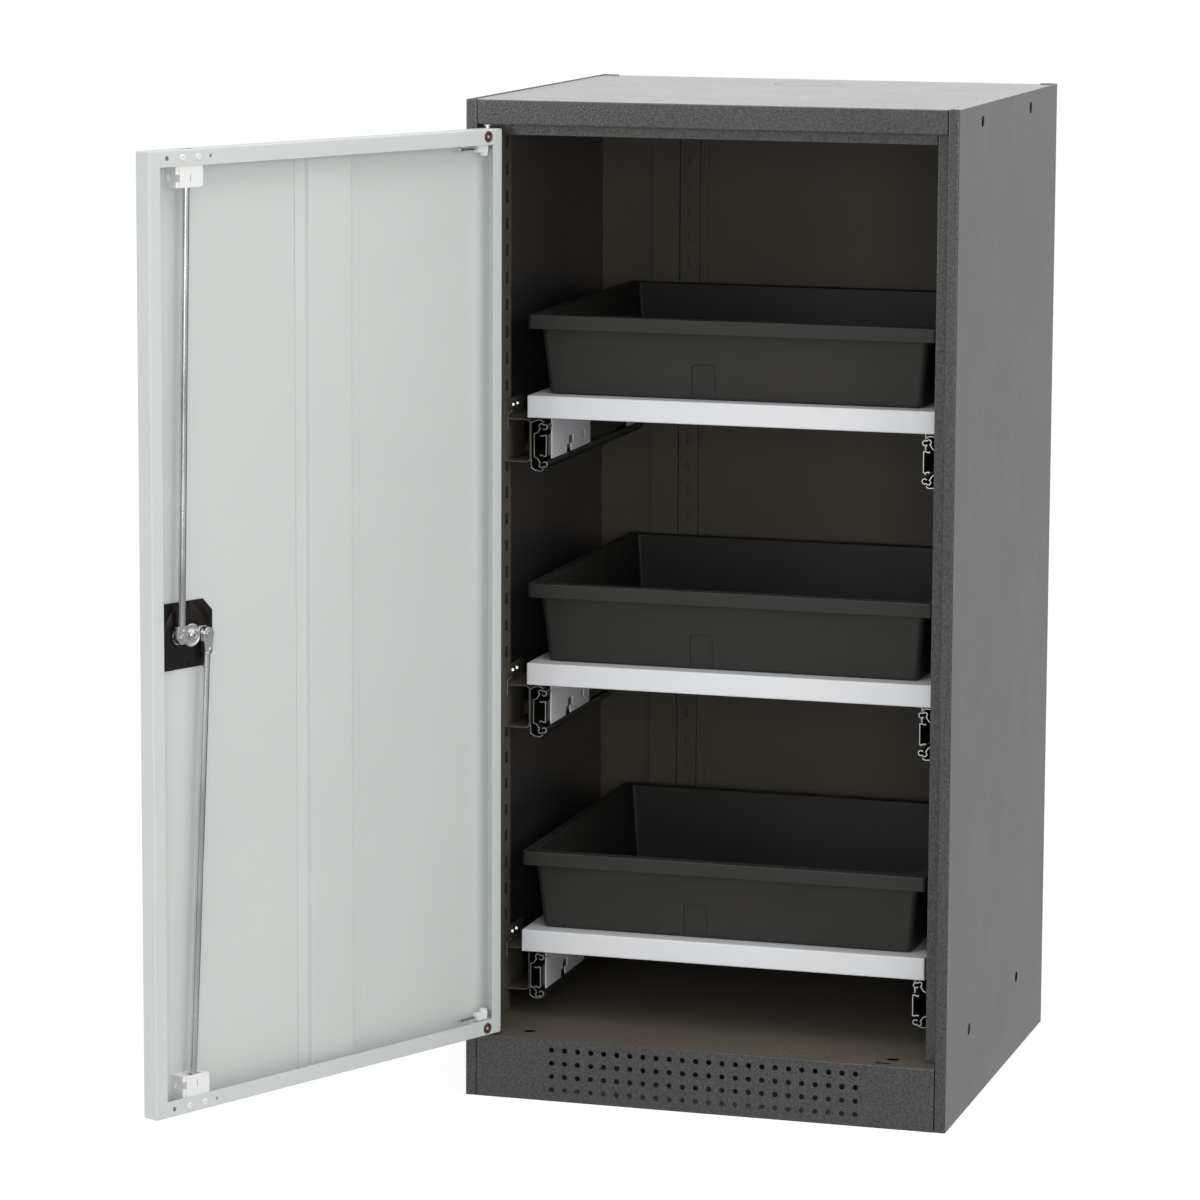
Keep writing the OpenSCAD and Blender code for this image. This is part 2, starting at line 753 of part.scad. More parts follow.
// Slotted plates that the locking rods enter
module rod_keepers() {
    thick = 2.5;
    rim = [7.5, 3.5];                    // plate left beside the slot
    half_x = guide_slot / 2 + rim.x;
    half_y = guide_depth / 2 + rim.y;
    color(plastic_black) for (z = [fascia_z + sheet, plinth_height - sheet - thick])
        difference() {
            block([guide_x - half_x, rod_y - half_y, z],
                  [guide_x + half_x, rod_y + half_y, z + thick]);
            keeper_slot(z - cut, z + thick + cut);
        }
}

// ---- Slides ----

// Left bracket for one drawer: channel, hook plate at the front upright and
// tab on the rear upright
module slide_bracket(i) {
    high = bracket_high(i);
    low = high - bracket_height;
    s = bracket_sheet;
    y0 = slide_front - bracket_lead;
    block([-slide_x - s, y0, low], [-slide_x, rear_face_y, high]);
    for (z = [low, high - s])
        block([-upright_x, y0, z], [-slide_x, rear_face_y - bracket_clear, z + s]);
    block([-upright_x, upright_y, low],
          [-upright_x + s, upright_y + hook_length, rail_tops[i] - hook_drop]);
    block([-slide_x - s, rear_face_y - s, low], [-slide_x + bracket_tab, rear_face_y, high]);
}

function bracket_high(i) = slide_z(i) + slide_height / 2 - bracket_inset;

module slide_brackets() {
    color(inner_grey) both_sides() for (i = [0:2]) slide_bracket(i);
}

module bracket_bolts() {
    color(zinc) both_sides() for (i = [0:2], k = [0, 1])
        translate([-upright_x + bracket_sheet, upright_y + bolt_in + k * bolt_pitch,
                   rail_tops[i] - hook_drop - bolt_head_d])
            rotate([0, 90, 0]) cylinder(d = bolt_head_d, h = bolt_head_h);
}

// Places a left slide member, drawn across the slide and about its middle
module at_slide(i, out, y0, y1) {
    both_sides() translate([-slide_x, -out, slide_z(i)]) run_y(y0, y1) children();
}

// The upper half of a section and its reflection below
module up_and_down() {
    children();
    mirror([0, 1]) children();
}

module slides_fixed() {
    h = slide_height / 2;
    color(zinc) for (i = [0:2]) at_slide(i, 0, slide_front, drawer_rear) {
        translate([0, -h]) square([slide_sheet, slide_height]);
        up_and_down() {
            translate([0, fixed_in]) square([outer_fold, slide_sheet]);
            translate([outer_fold - slide_sheet, h - outer_curl]) square([slide_sheet, outer_curl]);
        }
    }
}

module slide_mid(i) {
    color(zinc) at_slide(i, drawn[i] / 2, slide_front, drawer_rear) {
        translate([mid_u, -mid_out]) square([slide_sheet, 2 * mid_out]);
        up_and_down() {
            translate([mid_u, mid_out - slide_sheet]) square([track_u - mid_u, slide_sheet]);
            translate([track_u - slide_sheet, mid_in]) square([slide_sheet, track_depth]);
            translate([track_start, mid_in]) square([track_u - track_start, slide_sheet]);
        }
    }
}

module slide_inner(i) {
    color(zinc) at_slide(i, drawn[i], slide_front, drawer_rear) {
        translate([slide_thick - slide_sheet, -inner_out]) square([slide_sheet, 2 * inner_out]);
        up_and_down()
            translate([inner_u, inner_out - slide_sheet])
                square([slide_thick - inner_u, slide_sheet]);
    }
}

// Channel that wraps a member, with a row of balls in each of its folds
module ball_cage(i, out, web, reach, ball_u, ball_w) {
    h = ball_w + cage_sheet / 2;
    color(zinc) {
        at_slide(i, out, cage_y - cage_length / 2, cage_y + cage_length / 2) {
            translate([web, -h]) square([cage_sheet, 2 * h]);
            up_and_down() translate([web, h - cage_sheet]) square([reach - web, cage_sheet]);
        }
        both_sides() for (k = [0:cage_balls - 1], w = [-ball_w, ball_w])
            translate([-slide_x + ball_u,
                       cage_y - out + (k - (cage_balls - 1) / 2) * cage_length / cage_balls,
                       slide_z(i) + w])
                sphere(d = ball_d);
    }
}

module cage_fixed(i) {
    ball_cage(i, drawn[i] / 4, slide_sheet + web_gap, outer_fold - slide_sheet - web_gap,
              mid_u + ball_d * 0.75, (fixed_in + mid_out) / 2);
}

module cage_inner(i) {
    ball_cage(i, drawn[i] * 3 / 4, mid_u + slide_sheet + web_gap / 2, track_u - cage_end,
              (track_start + track_u) / 2, (mid_in + inner_out) / 2);
}

// ---- Drawers ----

// Folded sheet that carries a tub, with the plates that hang it on its slides
module shelf(i) {
    top = rail_tops[i];
    low = top - rail_height;
    t = drawer_sheet;
    plate_x = slide_x - slide_thick;
    hanger_y = slide_front + hanger_setback;
    notch_y = hanger_y + hanger_length * 0.44;
    foot_z = low - hanger_drop;
    color(rail_white) translate([0, -drawn[i], 0]) difference() {
        union() {
            block([-drawer_half, drawer_y, top - t], [drawer_half, drawer_rear, top]);
            for (y = [drawer_y, drawer_rear - t])
                block([-drawer_half, y, low], [drawer_half, y + t, top]);
            block([-drawer_half, drawer_y, low],
                  [drawer_half, drawer_y + rail_return, low + t]);
            both_sides() {
                block([-drawer_half, drawer_y, low], [-drawer_half + t, drawer_rear, top]);
                for (y = [[hanger_y, hanger_y + hanger_length],
                          [drawer_rear - hanger_length / 2, drawer_rear]])
                    block([-plate_x, y[0], low - hanger_drop], [-plate_x + t, y[1], top]);
            }
        }
        both_sides() {
            hanger_cut(notch_y, foot_z - cut, keyhole_w, keyhole_h + cut);
            hanger_cut(notch_y + keyhole_step, foot_z + keyhole_h - cut, keyhole_w,
                       keyhole_h + cut);
            hanger_cut(hanger_y + hanger_length * 0.82, foot_z + keyhole_h, hanger_slot,
                       keyhole_h);
        }
    }
}

// An opening through a left hanging plate, about a place along it
module hanger_cut(y, z, w, h) {
    x = -slide_x + slide_thick;
    block([x - cut, y - w / 2, z], [x + drawer_sheet + cut, y + w / 2, z + h]);
}

// Loose plastic tub with leaning walls and a banded rim
module tub(i) {
    w = 2 * drawer_half;
    d = drawer_rear - drawer_y;
    neck = rim_overhang;
    foot = rim_overhang + tub_draft;
    color(tub_black)
        translate([0, (drawer_y + drawer_rear) / 2 - drawn[i], rail_tops[i]]) {
            difference() {
                tub_body(w, d, foot, neck, tub_corner);
                translate([0, 0, tub_wall])
                    tub_body(w, d, foot + tub_wall, neck + tub_wall, tub_corner - tub_wall);
                difference() {
                    translate([-pocket_off - pocket_w / 2, -d / 2, pocket_low])
                        cube([pocket_w, foot + tub_wall, pocket_h]);
                    tub_body(w, d, foot + pocket_depth, neck + pocket_depth, tub_corner);
                }
            }
            rim(w, d);
        }
}

// Solid with leaning walls, from its inset at the base to its inset at the top
module tub_body(w, d, base_inset, top_inset, r) {
    skin = 0.01;
    hull() {
        linear_extrude(skin) rounded_rect(w - 2 * base_inset, d - 2 * base_inset, r);
        translate([0, 0, tub_height - skin]) linear_extrude(skin)
            rounded_rect(w - 2 * top_inset, d - 2 * top_inset, r);
    }
}

// Flat ring round the tub's mouth with a band folded down from its edge
module rim(w, d) {
    inset = rim_overhang + tub_wall;
    t = tub_wall * 0.8;
    translate([0, 0, tub_height - t]) linear_extrude(t) difference() {
        rounded_rect(w, d, rim_corner);
        rounded_rect(w - 2 * inset, d - 2 * inset, tub_corner - tub_wall);
    }
    translate([0, 0, tub_height - rim_band]) linear_extrude(rim_band) difference() {
        rounded_rect(w, d, rim_corner);
        rounded_rect(w - 2 * t, d - 2 * t, rim_corner - t);
    }
}

// ---- Door ----

module door_panel() {
    x0 = -door_half;
    x1 = door_half;
    color(door_grey) on_door() difference() {
        union() {
            block([x0, front_y, door_low], [x1, skin_y, door_high]);
            for (x = [x0, x1 - sheet])
                block([x, front_y, door_low], [x + sheet, door_in_y, door_high]);
            for (z = [door_low, door_high - sheet])
                block([x0, front_y, z], [x1, door_in_y, z + sheet]);
            block([x0, lip_y, door_low], [x0 + lip_hinge, door_in_y, door_high]);
            block([x1 - lip_free, lip_y, door_low], [x1, door_in_y, door_high]);
            for (z = [door_low, door_high - lip_end])
                block([x0, lip_y, z], [x1, door_in_y, z + lip_end]);
        }
        bar_y(housing_neck_d + 2 * pin_play, lock_x, lock_z, front_y - cut, skin_y + cut);
        translate([hinge_x, hinge_y, door_low - cut])
            cylinder(d = hinge_pin_d + 2 * hole_gap, h = door_high - door_low + 2 * cut);
        for (z = [door_low, door_high - sheet]) keeper_slot(z - cut, z + sheet + cut);
        at_ends() {
            for (dx = [-rivet_off, rivet_off]) lip_hole(guide_rivet_d, guide_x + dx);
            for (dx = [-spare_hinge, spare_free]) lip_hole(spare_d, guide_x + dx);
            lip_hole(hinge_rivet_d, x0 + hinge_rivet_in);
        }
    }
}

// Hole through a lip at the door's end
module lip_hole(d, x) {
    bar_y(d, x, 0, lip_y - cut, door_in_y + cut);
}

// At the height of the rivets in the lower lip and in the upper lip
module at_ends() {
    for (z = [door_low + rivet_edge, door_high - rivet_edge]) translate([0, 0, z]) children();
}

// Hat section with leaning walls, spot-welded to the skin
module door_stiffener() {
    z0 = door_low + sheet;
    length = door_high - door_low - 2 * sheet;
    crown = stiffener_w / 2;
    lean = 1.5;
    thick = 1;
    foot = crown + lean;
    toe = foot + stiffener_foot;
    bend = 0.9;                          // from an inner bend to the outer one beside it
    color(door_grey) on_door() translate([stiffener_off, skin_y, z0]) linear_extrude(length)
        polygon([
            [-toe, 0], [-foot, 0], [-crown, stiffener_h - thick],
            [crown, stiffener_h - thick], [foot, 0], [toe, 0],
            [toe, thick], [foot + bend, thick], [crown + bend, stiffener_h],
            [-crown - bend, stiffener_h], [-foot - bend, thick], [-toe, thick]
        ]);
}

// Inner shell of the recessed handle: a plate with cut corners and a neck
// through the skin
module lock_housing() {
    h = housing_size / 2;
    c = housing_cut;
    color(plastic_black) on_door() difference() {
        union() {
            translate([lock_x, 0, lock_z]) run_y(skin_y, skin_y + housing_depth)
                polygon([[-h + c, -h], [h, -h], [h, h], [-h + c, h], [-h, h - c], [-h, -h + c]]);
            bar_y(housing_neck_d, lock_x, lock_z, front_y, skin_y + cut);
        }
        bar_y(spindle_d + 2 * pin_play, lock_x, lock_z, front_y - cut, cam_y);
    }
}

module handle_plate() {
    width = housing_size - 8;
    corner = 10;
    color(plastic_black) on_door() difference() {
        translate([lock_x, 0, lock_z]) run_y(front_y - plate_thick, front_y)
            rounded_rect(width, width, corner);
        bar_y(spindle_d + 2 * pin_play, lock_x, lock_z, front_y - plate_thick - cut,
              front_y + cut);
    }
}

// Wing handle with its spindle, which reaches through to the nut. The handle
// stands upright while the rods are drawn back
module turning_handle() {
    boss_d = cylinder_d + 10;
    finger_room = 5;
    out_y = front_y - handle_height;
    color(plastic_black) on_door() difference() {
        union() {
            bar_y(boss_d, lock_x, lock_z, out_y, handle_base);
            block([lock_x - handle_width / 2, out_y, lock_z - handle_length / 2],
                  [lock_x + handle_width / 2, handle_base - finger_room,
                   lock_z + handle_length / 2]);
            bar_y(spindle_d, lock_x, lock_z, handle_base - cut,
                  cam_face + washer_thick + nut_height);
        }
        bar_y(cylinder_d + 2 * pin_play, lock_x, lock_z, out_y - cut,
              handle_base - cylinder_floor);
    }
}

module lock_cylinder() {
    proud = 0.5;                         // how far the cylinder stands out of the handle
    key_slot = [1.4, 6, 8];
    out_y = front_y - handle_height - proud;
    color(zinc) on_door() difference() {
        bar_y(cylinder_d, lock_x, lock_z, out_y, handle_base - cylinder_floor - ride_gap);
        translate([lock_x - key_slot[0] / 2, out_y - cut, lock_z - key_slot[2] / 2])
            cube(key_slot + [0, cut, 0]);
    }
}

// Cam on the spindle, with the two riveted pins that drive the rods
module lock_cam() {
    color(zinc) on_door() {
        difference() {
            translate([lock_x, 0, lock_z]) run_y(cam_y, cam_face) {
                square([2 * cam_arm, cam_width], center = true);
                for (s = [-1, 1]) translate([s * cam_arm, 0]) circle(d = cam_width);
            }
            bar_y(spindle_d, lock_x, lock_z, cam_y - cut, cam_face + cut);
        }
        for (s = [-1, 1]) {
            bar_y(cam_pin_d, lock_x + s * cam_arm, lock_z, cam_face - cut, end_face + head_thick);
            bar_y(cam_pin_d + 2 * head_rim, lock_x + s * cam_arm, lock_z, end_face + ride_gap,
                  end_face + ride_gap + head_thick);
        }
    }
}

// Washer and hexagon nut
module spindle_nut() {
    color(zinc) on_door() difference() {
        union() {
            bar_y(washer_d, lock_x, lock_z, cam_face, cam_face + washer_thick);
            translate([lock_x, cam_face + washer_thick, lock_z]) rotate([-90, 0, 0])
                cylinder(d = nut_af / cos(30), h = nut_height, $fn = 6);
        }
        bar_y(spindle_d, lock_x, lock_z, cam_face - cut,
              cam_face + washer_thick + nut_height + cut);
    }
}

// Puts a rod drawn from its pin along Z into its place on the cam
module on_cam(side, lean) {
    on_door() translate([lock_x + side * cam_arm, 0, lock_z]) rotate([0, -lean, 0])
        children();
}

// Round-nosed plate on a cam pin, tapered towards its rod
module rod_end(length, tip) {
    w = rod_end_w / 2;
    difference() {
        run_y(end_y, end_face) {
            circle(w);
            polygon([[-w, 0], [w, 0], [tip, length], [-tip, length]]);
        }
        bar_y(cam_pin_d + 2 * pin_play, 0, 0, end_y - cut, end_face + cut);
    }
}

module rod_upper() {
    length = (door_high - rod_setback - lock_z) / cos(lean_upper);
    color(zinc) on_cam(1, lean_upper)
        translate([0, rod_y, block_length]) cylinder(d = rod_d, h = length - block_length);
}

module rod_upper_end() {
    color(zinc) on_cam(1, lean_upper) rod_end(block_length, rod_end_w / 2);
}

module rod_lower() {
    length = (lock_z - door_low - rod_setback) / cos(lean_lower);
    color(zinc) on_cam(-1, lean_lower)
        translate([0, rod_y, -length]) cylinder(d = rod_d, h = length - taper_length);
}

module rod_lower_end() {
    color(zinc) on_cam(-1, lean_lower) mirror([0, 0, 1])
        rod_end(taper_length, rod_d / 2 + fork_wall);
}

// Plastic guide behind a lip, drawn for the upper end
module rod_guide() {
    top = door_high - sheet;
    low = door_high - lip_end - guide_show;
    difference() {
        block([guide_x - guide_w / 2, skin_y, low], [guide_x + guide_w / 2, lip_y, top]);
        keeper_slot(low - cut, top + cut);
        for (dx = [-rivet_off, rivet_off])
            bar_y(guide_rivet_d, guide_x + dx, door_high - rivet_edge, skin_y + rivet_foot,
                  door_in_y + cut);
    }
}

// Reflects an upper door part to the lower end
module at_low_end() {
    translate([0, 0, door_low + door_high]) mirror([0, 0, 1]) children();
}

module rod_guide_upper() {
    color(plastic_white) on_door() rod_guide();
}

module rod_guide_lower() {
    color(plastic_white) on_door() at_low_end() rod_guide();
}

// Hollow rivets, each with a shank in the guide and a head on the lip
module guide_rivets() {
    rim = 1.5;
    head = 1.4;
    floor_thick = 2;                     // left under the rivet's hollow
    color(plastic_white) on_door() at_ends() for (dx = [-rivet_off, rivet_off]) difference() {
        union() {
            bar_y(guide_rivet_d, guide_x + dx, 0, skin_y + rivet_foot, door_in_y + head);
            bar_y(guide_rivet_d + 2 * rim, guide_x + dx, 0, door_in_y, door_in_y + head);
        }
        bar_y(guide_rivet_d / 2, guide_x + dx, 0, skin_y + rivet_foot + floor_thick,
              door_in_y + head + cut);
    }
}

// Block in the hinge corner that guides the pin, drawn for the upper end
module hinge_block() {
    x0 = -door_half + sheet;
    top = door_high - sheet;
    jaw_low = door_high - lip_end + 1;
    wall_low = jaw_low - 9;              // the wall beside the pin goes on below the lip
    difference() {
        union() {
            block([x0, skin_y, jaw_low], [-door_half + hinge_block_length, lip_y, top]);
            block([x0, skin_y, wall_low], [hinge_x - hinge_pin_d / 2 - hole_gap, lip_y, top]);
        }
        translate([hinge_x, hinge_y, wall_low - cut])
            cylinder(d = hinge_pin_d + 2 * pin_play, h = top - wall_low + 2 * cut);
        bar_y(hinge_rivet_d, -door_half + hinge_rivet_in, door_high - rivet_edge,
              skin_y + rivet_foot, door_in_y);
    }
}

module hinge_blocks() {
    color(plastic_white) on_door() {
        hinge_block();
        at_low_end() hinge_block();
    }
}

module hinge_rivets() {
    x = -door_half + hinge_rivet_in;
    head = 1.5;
    rim = 3.5;
    color(rivet_brown) on_door() at_ends() {
        bar_y(hinge_rivet_d, x, 0, skin_y + rivet_foot, door_in_y + head);
        bar_y(hinge_rivet_d + 2 * rim, x, 0, door_in_y, door_in_y + head);
    }
}

// Sprung pin with the lever that draws it back, drawn for the upper end
module hinge_pin() {
    low = door_high - hinge_pin_shank;
    bar_z = door_high - lever_z - lever_bar;
    root = 6;                            // width of the lever where it leaves the pin
    translate([hinge_x, hinge_y, low])
        cylinder(d = hinge_pin_d, h = door_high + hinge_pin_reach - low);
    block([hinge_x, hinge_y - hinge_pin_d / 2, bar_z],
          [hinge_x + root, lever_y, bar_z + lever_bar]);
    block([hinge_x, lever_y - lever_bar, bar_z],
          [hinge_x + lever_length, lever_y, bar_z + lever_bar]);
}

// Plastic grip round the lever's bar, drawn for the upper end
module pull_grip() {
    bar_z = door_high - lever_z - lever_bar;
    x0 = -door_half + grip_in;
    wall = 2;
    difference() {
        block([x0, lever_y - lever_bar - wall, bar_z - wall],
              [x0 + grip_length, lever_y + wall, bar_z + lever_bar + wall]);
        block([x0 - cut, lever_y - lever_bar, bar_z],
              [x0 + grip_length + cut, lever_y, bar_z + lever_bar]);
    }
}

module hinge_pin_upper() {
    color(zinc) on_door() hinge_pin();
}

module hinge_pin_lower() {
    color(zinc) on_door() at_low_end() hinge_pin();
}

module pull_grip_upper() {
    color(plastic_white) on_door() pull_grip();
}

module pull_grip_lower() {
    color(plastic_white) on_door() at_low_end() pull_grip();
}

side_left();
side_right();
back_panel();
top_panel();
fascia();
top_stop_rail();
base_panel();
plinth_panel();
plinth_frame();
levelling_feet();
upright_front_left();
upright_front_right();
upright_rear_left();
upright_rear_right();
port_cap();
hinge_bushes();
rod_keepers();
slide_brackets();
bracket_bolts();
slides_fixed();
door_panel();
door_stiffener();
lock_housing();
handle_plate();
rod_guide_upper();
rod_guide_lower();
guide_rivets();
hinge_blocks();
hinge_rivets();
lock_cam();
spindle_nut();
turning_handle();
lock_cylinder();
rod_upper();
rod_upper_end();
rod_lower();
rod_lower_end();
hinge_pin_upper();
pull_grip_upper();
hinge_pin_lower();
pull_grip_lower();
shelf(0);  // shelf_low
tub(0);  // tub_low
slide_inner(0);  // slide_inner_low
slide_mid(0);  // slide_mid_low
cage_fixed(0);  // cage_fixed_low
cage_inner(0);  // cage_inner_low
shelf(1);  // shelf_middle
tub(1);  // tub_middle
slide_inner(1);  // slide_inner_middle
slide_mid(1);  // slide_mid_middle
cage_fixed(1);  // cage_fixed_middle
cage_inner(1);  // cage_inner_middle
shelf(2);  // shelf_top
tub(2);  // tub_top
slide_inner(2);  // slide_inner_top
slide_mid(2);  // slide_mid_top
cage_fixed(2);  // cage_fixed_top
cage_inner(2);  // cage_inner_top
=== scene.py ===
# %% [markdown]
# # A reagent drawer cabinet
# The cabinet is folded sheet steel: two sides, a back, a top, a fascia, a floor and a
# perforated plinth. A door pan with a two-point rod lock hangs on its left, and three
# shelves with loose plastic tubs run out on ball slides.
#
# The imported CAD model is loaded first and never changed. Every piece made here is built
# in the same metres, takes its place from the CAD, and rides on a CAD body, so that it
# still fits when the door swings or a drawer runs out.

# %% The frame
import json
from math import cos, pi, radians, sin, tau

import bmesh
import bpy
from mathutils import Matrix, Vector

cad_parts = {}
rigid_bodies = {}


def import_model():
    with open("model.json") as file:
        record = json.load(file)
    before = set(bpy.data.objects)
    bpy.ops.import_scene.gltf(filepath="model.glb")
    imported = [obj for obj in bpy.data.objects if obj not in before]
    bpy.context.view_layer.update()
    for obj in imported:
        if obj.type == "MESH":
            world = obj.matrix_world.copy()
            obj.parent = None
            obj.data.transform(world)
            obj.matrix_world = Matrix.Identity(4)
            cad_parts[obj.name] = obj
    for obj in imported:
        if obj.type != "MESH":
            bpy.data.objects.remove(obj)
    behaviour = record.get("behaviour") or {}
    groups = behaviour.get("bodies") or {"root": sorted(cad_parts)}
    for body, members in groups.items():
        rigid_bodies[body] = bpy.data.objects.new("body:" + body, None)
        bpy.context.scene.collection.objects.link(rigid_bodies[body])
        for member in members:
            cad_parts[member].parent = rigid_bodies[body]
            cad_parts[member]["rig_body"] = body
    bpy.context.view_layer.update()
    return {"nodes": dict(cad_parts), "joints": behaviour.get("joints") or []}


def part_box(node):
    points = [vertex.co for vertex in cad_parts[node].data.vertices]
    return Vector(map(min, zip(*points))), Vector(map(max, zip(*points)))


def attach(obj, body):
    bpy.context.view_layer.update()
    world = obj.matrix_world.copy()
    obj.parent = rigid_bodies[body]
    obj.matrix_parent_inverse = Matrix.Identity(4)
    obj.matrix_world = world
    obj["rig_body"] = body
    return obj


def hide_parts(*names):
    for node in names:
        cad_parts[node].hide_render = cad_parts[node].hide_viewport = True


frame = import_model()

MM = 0.001
scene = bpy.context.scene
nodes = frame["nodes"]
joints = {joint["name"]: joint for joint in frame["joints"]}

# %% [markdown]
# ## The camera
# The photograph was taken from a little right of the cabinet's front and a little above
# it, with a long lens. The place and the angles below were fitted to the corners of the
# cabinet. A long lens could be copied by any far camera, but only this distance gives
# the same gentle lean to the open door, so it is set first and left alone.

# %% The camera
camera = bpy.data.objects.new("camera", bpy.data.cameras.new("camera"))
scene.collection.objects.link(camera)
scene.camera = camera
camera.location = Vector((1379.8, -5307.0, 1426.2)) * MM
camera.rotation_euler = (radians(90 - 8.174), radians(-0.252), radians(16.581))
camera.data.sensor_fit = "HORIZONTAL"
camera.data.sensor_width = 36
camera.data.lens = 147.2
camera.data.shift_y = -0.08
camera.data.clip_end = 400
scene.view_settings.view_transform = "Standard"
print("camera", round(camera.location.length, 2), "m from the origin")

# %% [markdown]
# ## Light
# Product photographs of dark cabinets rely on reflections: the paint is nearly black,
# and the sides look grey only because they mirror a pale room. So the world is white to
# the camera, a little weaker to mirror rays and weakest as light. Soft area lamps then
# model the form: a large one overhead, one on the right, and fills from the left and the
# front.

# %% Light
def math_node(tree, operation, *values):
    """The output of a Math node. Each value is a number or an output to link."""
    node = tree.nodes.new("ShaderNodeMath")
    node.operation = operation
    for socket, value in zip(node.inputs, values):
        if isinstance(value, bpy.types.NodeSocket):
            tree.links.new(value, socket)
        else:
            socket.default_value = value
    return node.outputs[0]


def between(tree, low, high, value):
    """The output of a Map Range node that runs from low to high as value goes 0 to 1."""
    node = tree.nodes.new("ShaderNodeMapRange")
    node.inputs["To Min"].default_value = low
    node.inputs["To Max"].default_value = high
    tree.links.new(value, node.inputs["Value"])
    return node.outputs[0]


WORLD_LIGHT, WORLD_MIRRORED = 0.62, 0.84
world = bpy.data.worlds.new("white room")
scene.world = world
world.use_nodes = True
tree = world.node_tree
background = tree.nodes["Background"]
background.inputs["Color"].default_value = (1, 1, 1, 1)
rays = tree.nodes.new("ShaderNodeLightPath").outputs
seen = math_node(tree, "MAXIMUM", rays["Is Camera Ray"], rays["Is Transmission Ray"])
mirrored = between(tree, WORLD_LIGHT, WORLD_MIRRORED, rays["Is Glossy Ray"])
tree.links.new(math_node(tree, "MAXIMUM", seen, mirrored), background.inputs["Strength"])

LAMP_AIM = Vector((0, 0, 0.6))
LAMPS = {       # place in metres, size in metres and power in watts
    "overhead": ((0.4, -0.6, 3.2), 2.6, 34),
    "right side": ((3.2, -2.2, 1.9), 1.6, 20),
    "left fill": ((-2.6, -3.6, 1.6), 2.0, 22),
    "front fill": ((1.5, -5.4, 1.3), 1.4, 34),
}
for name, (place, size, power) in LAMPS.items():
    lamp = bpy.data.objects.new(name, bpy.data.lights.new(name, "AREA"))
    scene.collection.objects.link(lamp)
    lamp.location = place
    lamp.rotation_euler = (LAMP_AIM - Vector(place)).to_track_quat("-Z", "Y").to_euler()
    lamp.data.size = size
    lamp.data.energy = power
print(len(LAMPS), "lamps")

# %% [markdown]
# ## Node groups for the finishes
# Real finishes differ in four small things: their tone drifts, their gloss drifts, they
# have a grain, and rolled metal has streaks. These could be painted as images, but noise
# on Object coordinates needs no picture and has no seams. Two node groups with named
# sockets do it all, built once, and every material sets its own values on them.

# %% Node groups
def new_group(name, takes, gives):
    """A shader node group with named inputs, given as (kind, default), and outputs."""
    group = bpy.data.node_groups.new(name, "ShaderNodeTree")
    for label, (kind, default) in takes.items():
        socket = group.interface.new_socket(label, in_out="INPUT", socket_type=kind)
        socket.default_value = default
    for label, kind in gives.items():
        group.interface.new_socket(label, in_out="OUTPUT", socket_type=kind)
    inside = group.nodes.new("NodeGroupInput")
    outside = group.nodes.new("NodeGroupOutput")
    return group, inside, outside


def noise(group, scale, detail, coordinates):
    """A noise texture in a node tree, fed with coordinates and a scale."""
    texture = group.nodes.new("ShaderNodeTexNoise")
    texture.inputs["Detail"].default_value = detail
    group.links.new(coordinates, texture.inputs["Vector"])
    group.links.new(scale, texture.inputs["Scale"])
    return texture.outputs["Fac"]


def drift(group, value, spread, mask):
    """value x (1 - spread .. 1 + spread), by the middle range of a noise mask."""
    swing = group.nodes.new("ShaderNodeMapRange")
    swing.inputs["From Min"].default_value = 0.3
    swing.inputs["From Max"].default_value = 0.7
    group.links.new(mask, swing.inputs["Value"])
    group.links.new(math_node(group, "SUBTRACT", 1, spread), swing.inputs["To Min"])
    group.links.new(math_node(group, "ADD", 1, spread), swing.inputs["To Max"])
    if value.type != "RGBA":
        return math_node(group, "MULTIPLY", value, swing.outputs[0])
    scaled = group.nodes.new("ShaderNodeVectorMath")
    scaled.operation = "SCALE"
    group.links.new(value, scaled.inputs[0])
    group.links.new(swing.outputs[0], scaled.inputs["Scale"])
    return scaled.outputs[0]


drift_group, takes, gives = new_group(
    "tone drift",
    {"Color": ("NodeSocketColor", (0.5, 0.5, 0.5, 1)), "Roughness": ("NodeSocketFloat", 0.4),
     "Size": ("NodeSocketFloat", 8.0), "Color Spread": ("NodeSocketFloat", 0.04),
     "Roughness Spread": ("NodeSocketFloat", 0.1)},
    {"Color": "NodeSocketColor", "Roughness": "NodeSocketFloat"})
place = drift_group.nodes.new("ShaderNodeTexCoord").outputs["Object"]
cloud = noise(drift_group, takes.outputs["Size"], 3, place)
for label in ("Color", "Roughness"):
    result = drift(drift_group, takes.outputs[label], takes.outputs[label + " Spread"], cloud)
    drift_group.links.new(result, gives.inputs[label])

grain_group, takes, gives = new_group(
    "grain",
    {"Size": ("NodeSocketFloat", 500.0), "Depth": ("NodeSocketFloat", 0.0001),
     "Stretch": ("NodeSocketVector", (1, 1, 1))},
    {"Normal": "NodeSocketVector"})
place = grain_group.nodes.new("ShaderNodeTexCoord").outputs["Object"]
stretched = grain_group.nodes.new("ShaderNodeVectorMath")
stretched.operation = "MULTIPLY"
grain_group.links.new(place, stretched.inputs[0])
grain_group.links.new(takes.outputs["Stretch"], stretched.inputs[1])
height_map = noise(grain_group, takes.outputs["Size"], 1, stretched.outputs[0])
bump = grain_group.nodes.new("ShaderNodeBump")
grain_group.links.new(takes.outputs["Depth"], bump.inputs["Distance"])
grain_group.links.new(height_map, bump.inputs["Height"])
grain_group.links.new(bump.outputs["Normal"], gives.inputs["Normal"])
print("groups:", drift_group.name, "and", grain_group.name)

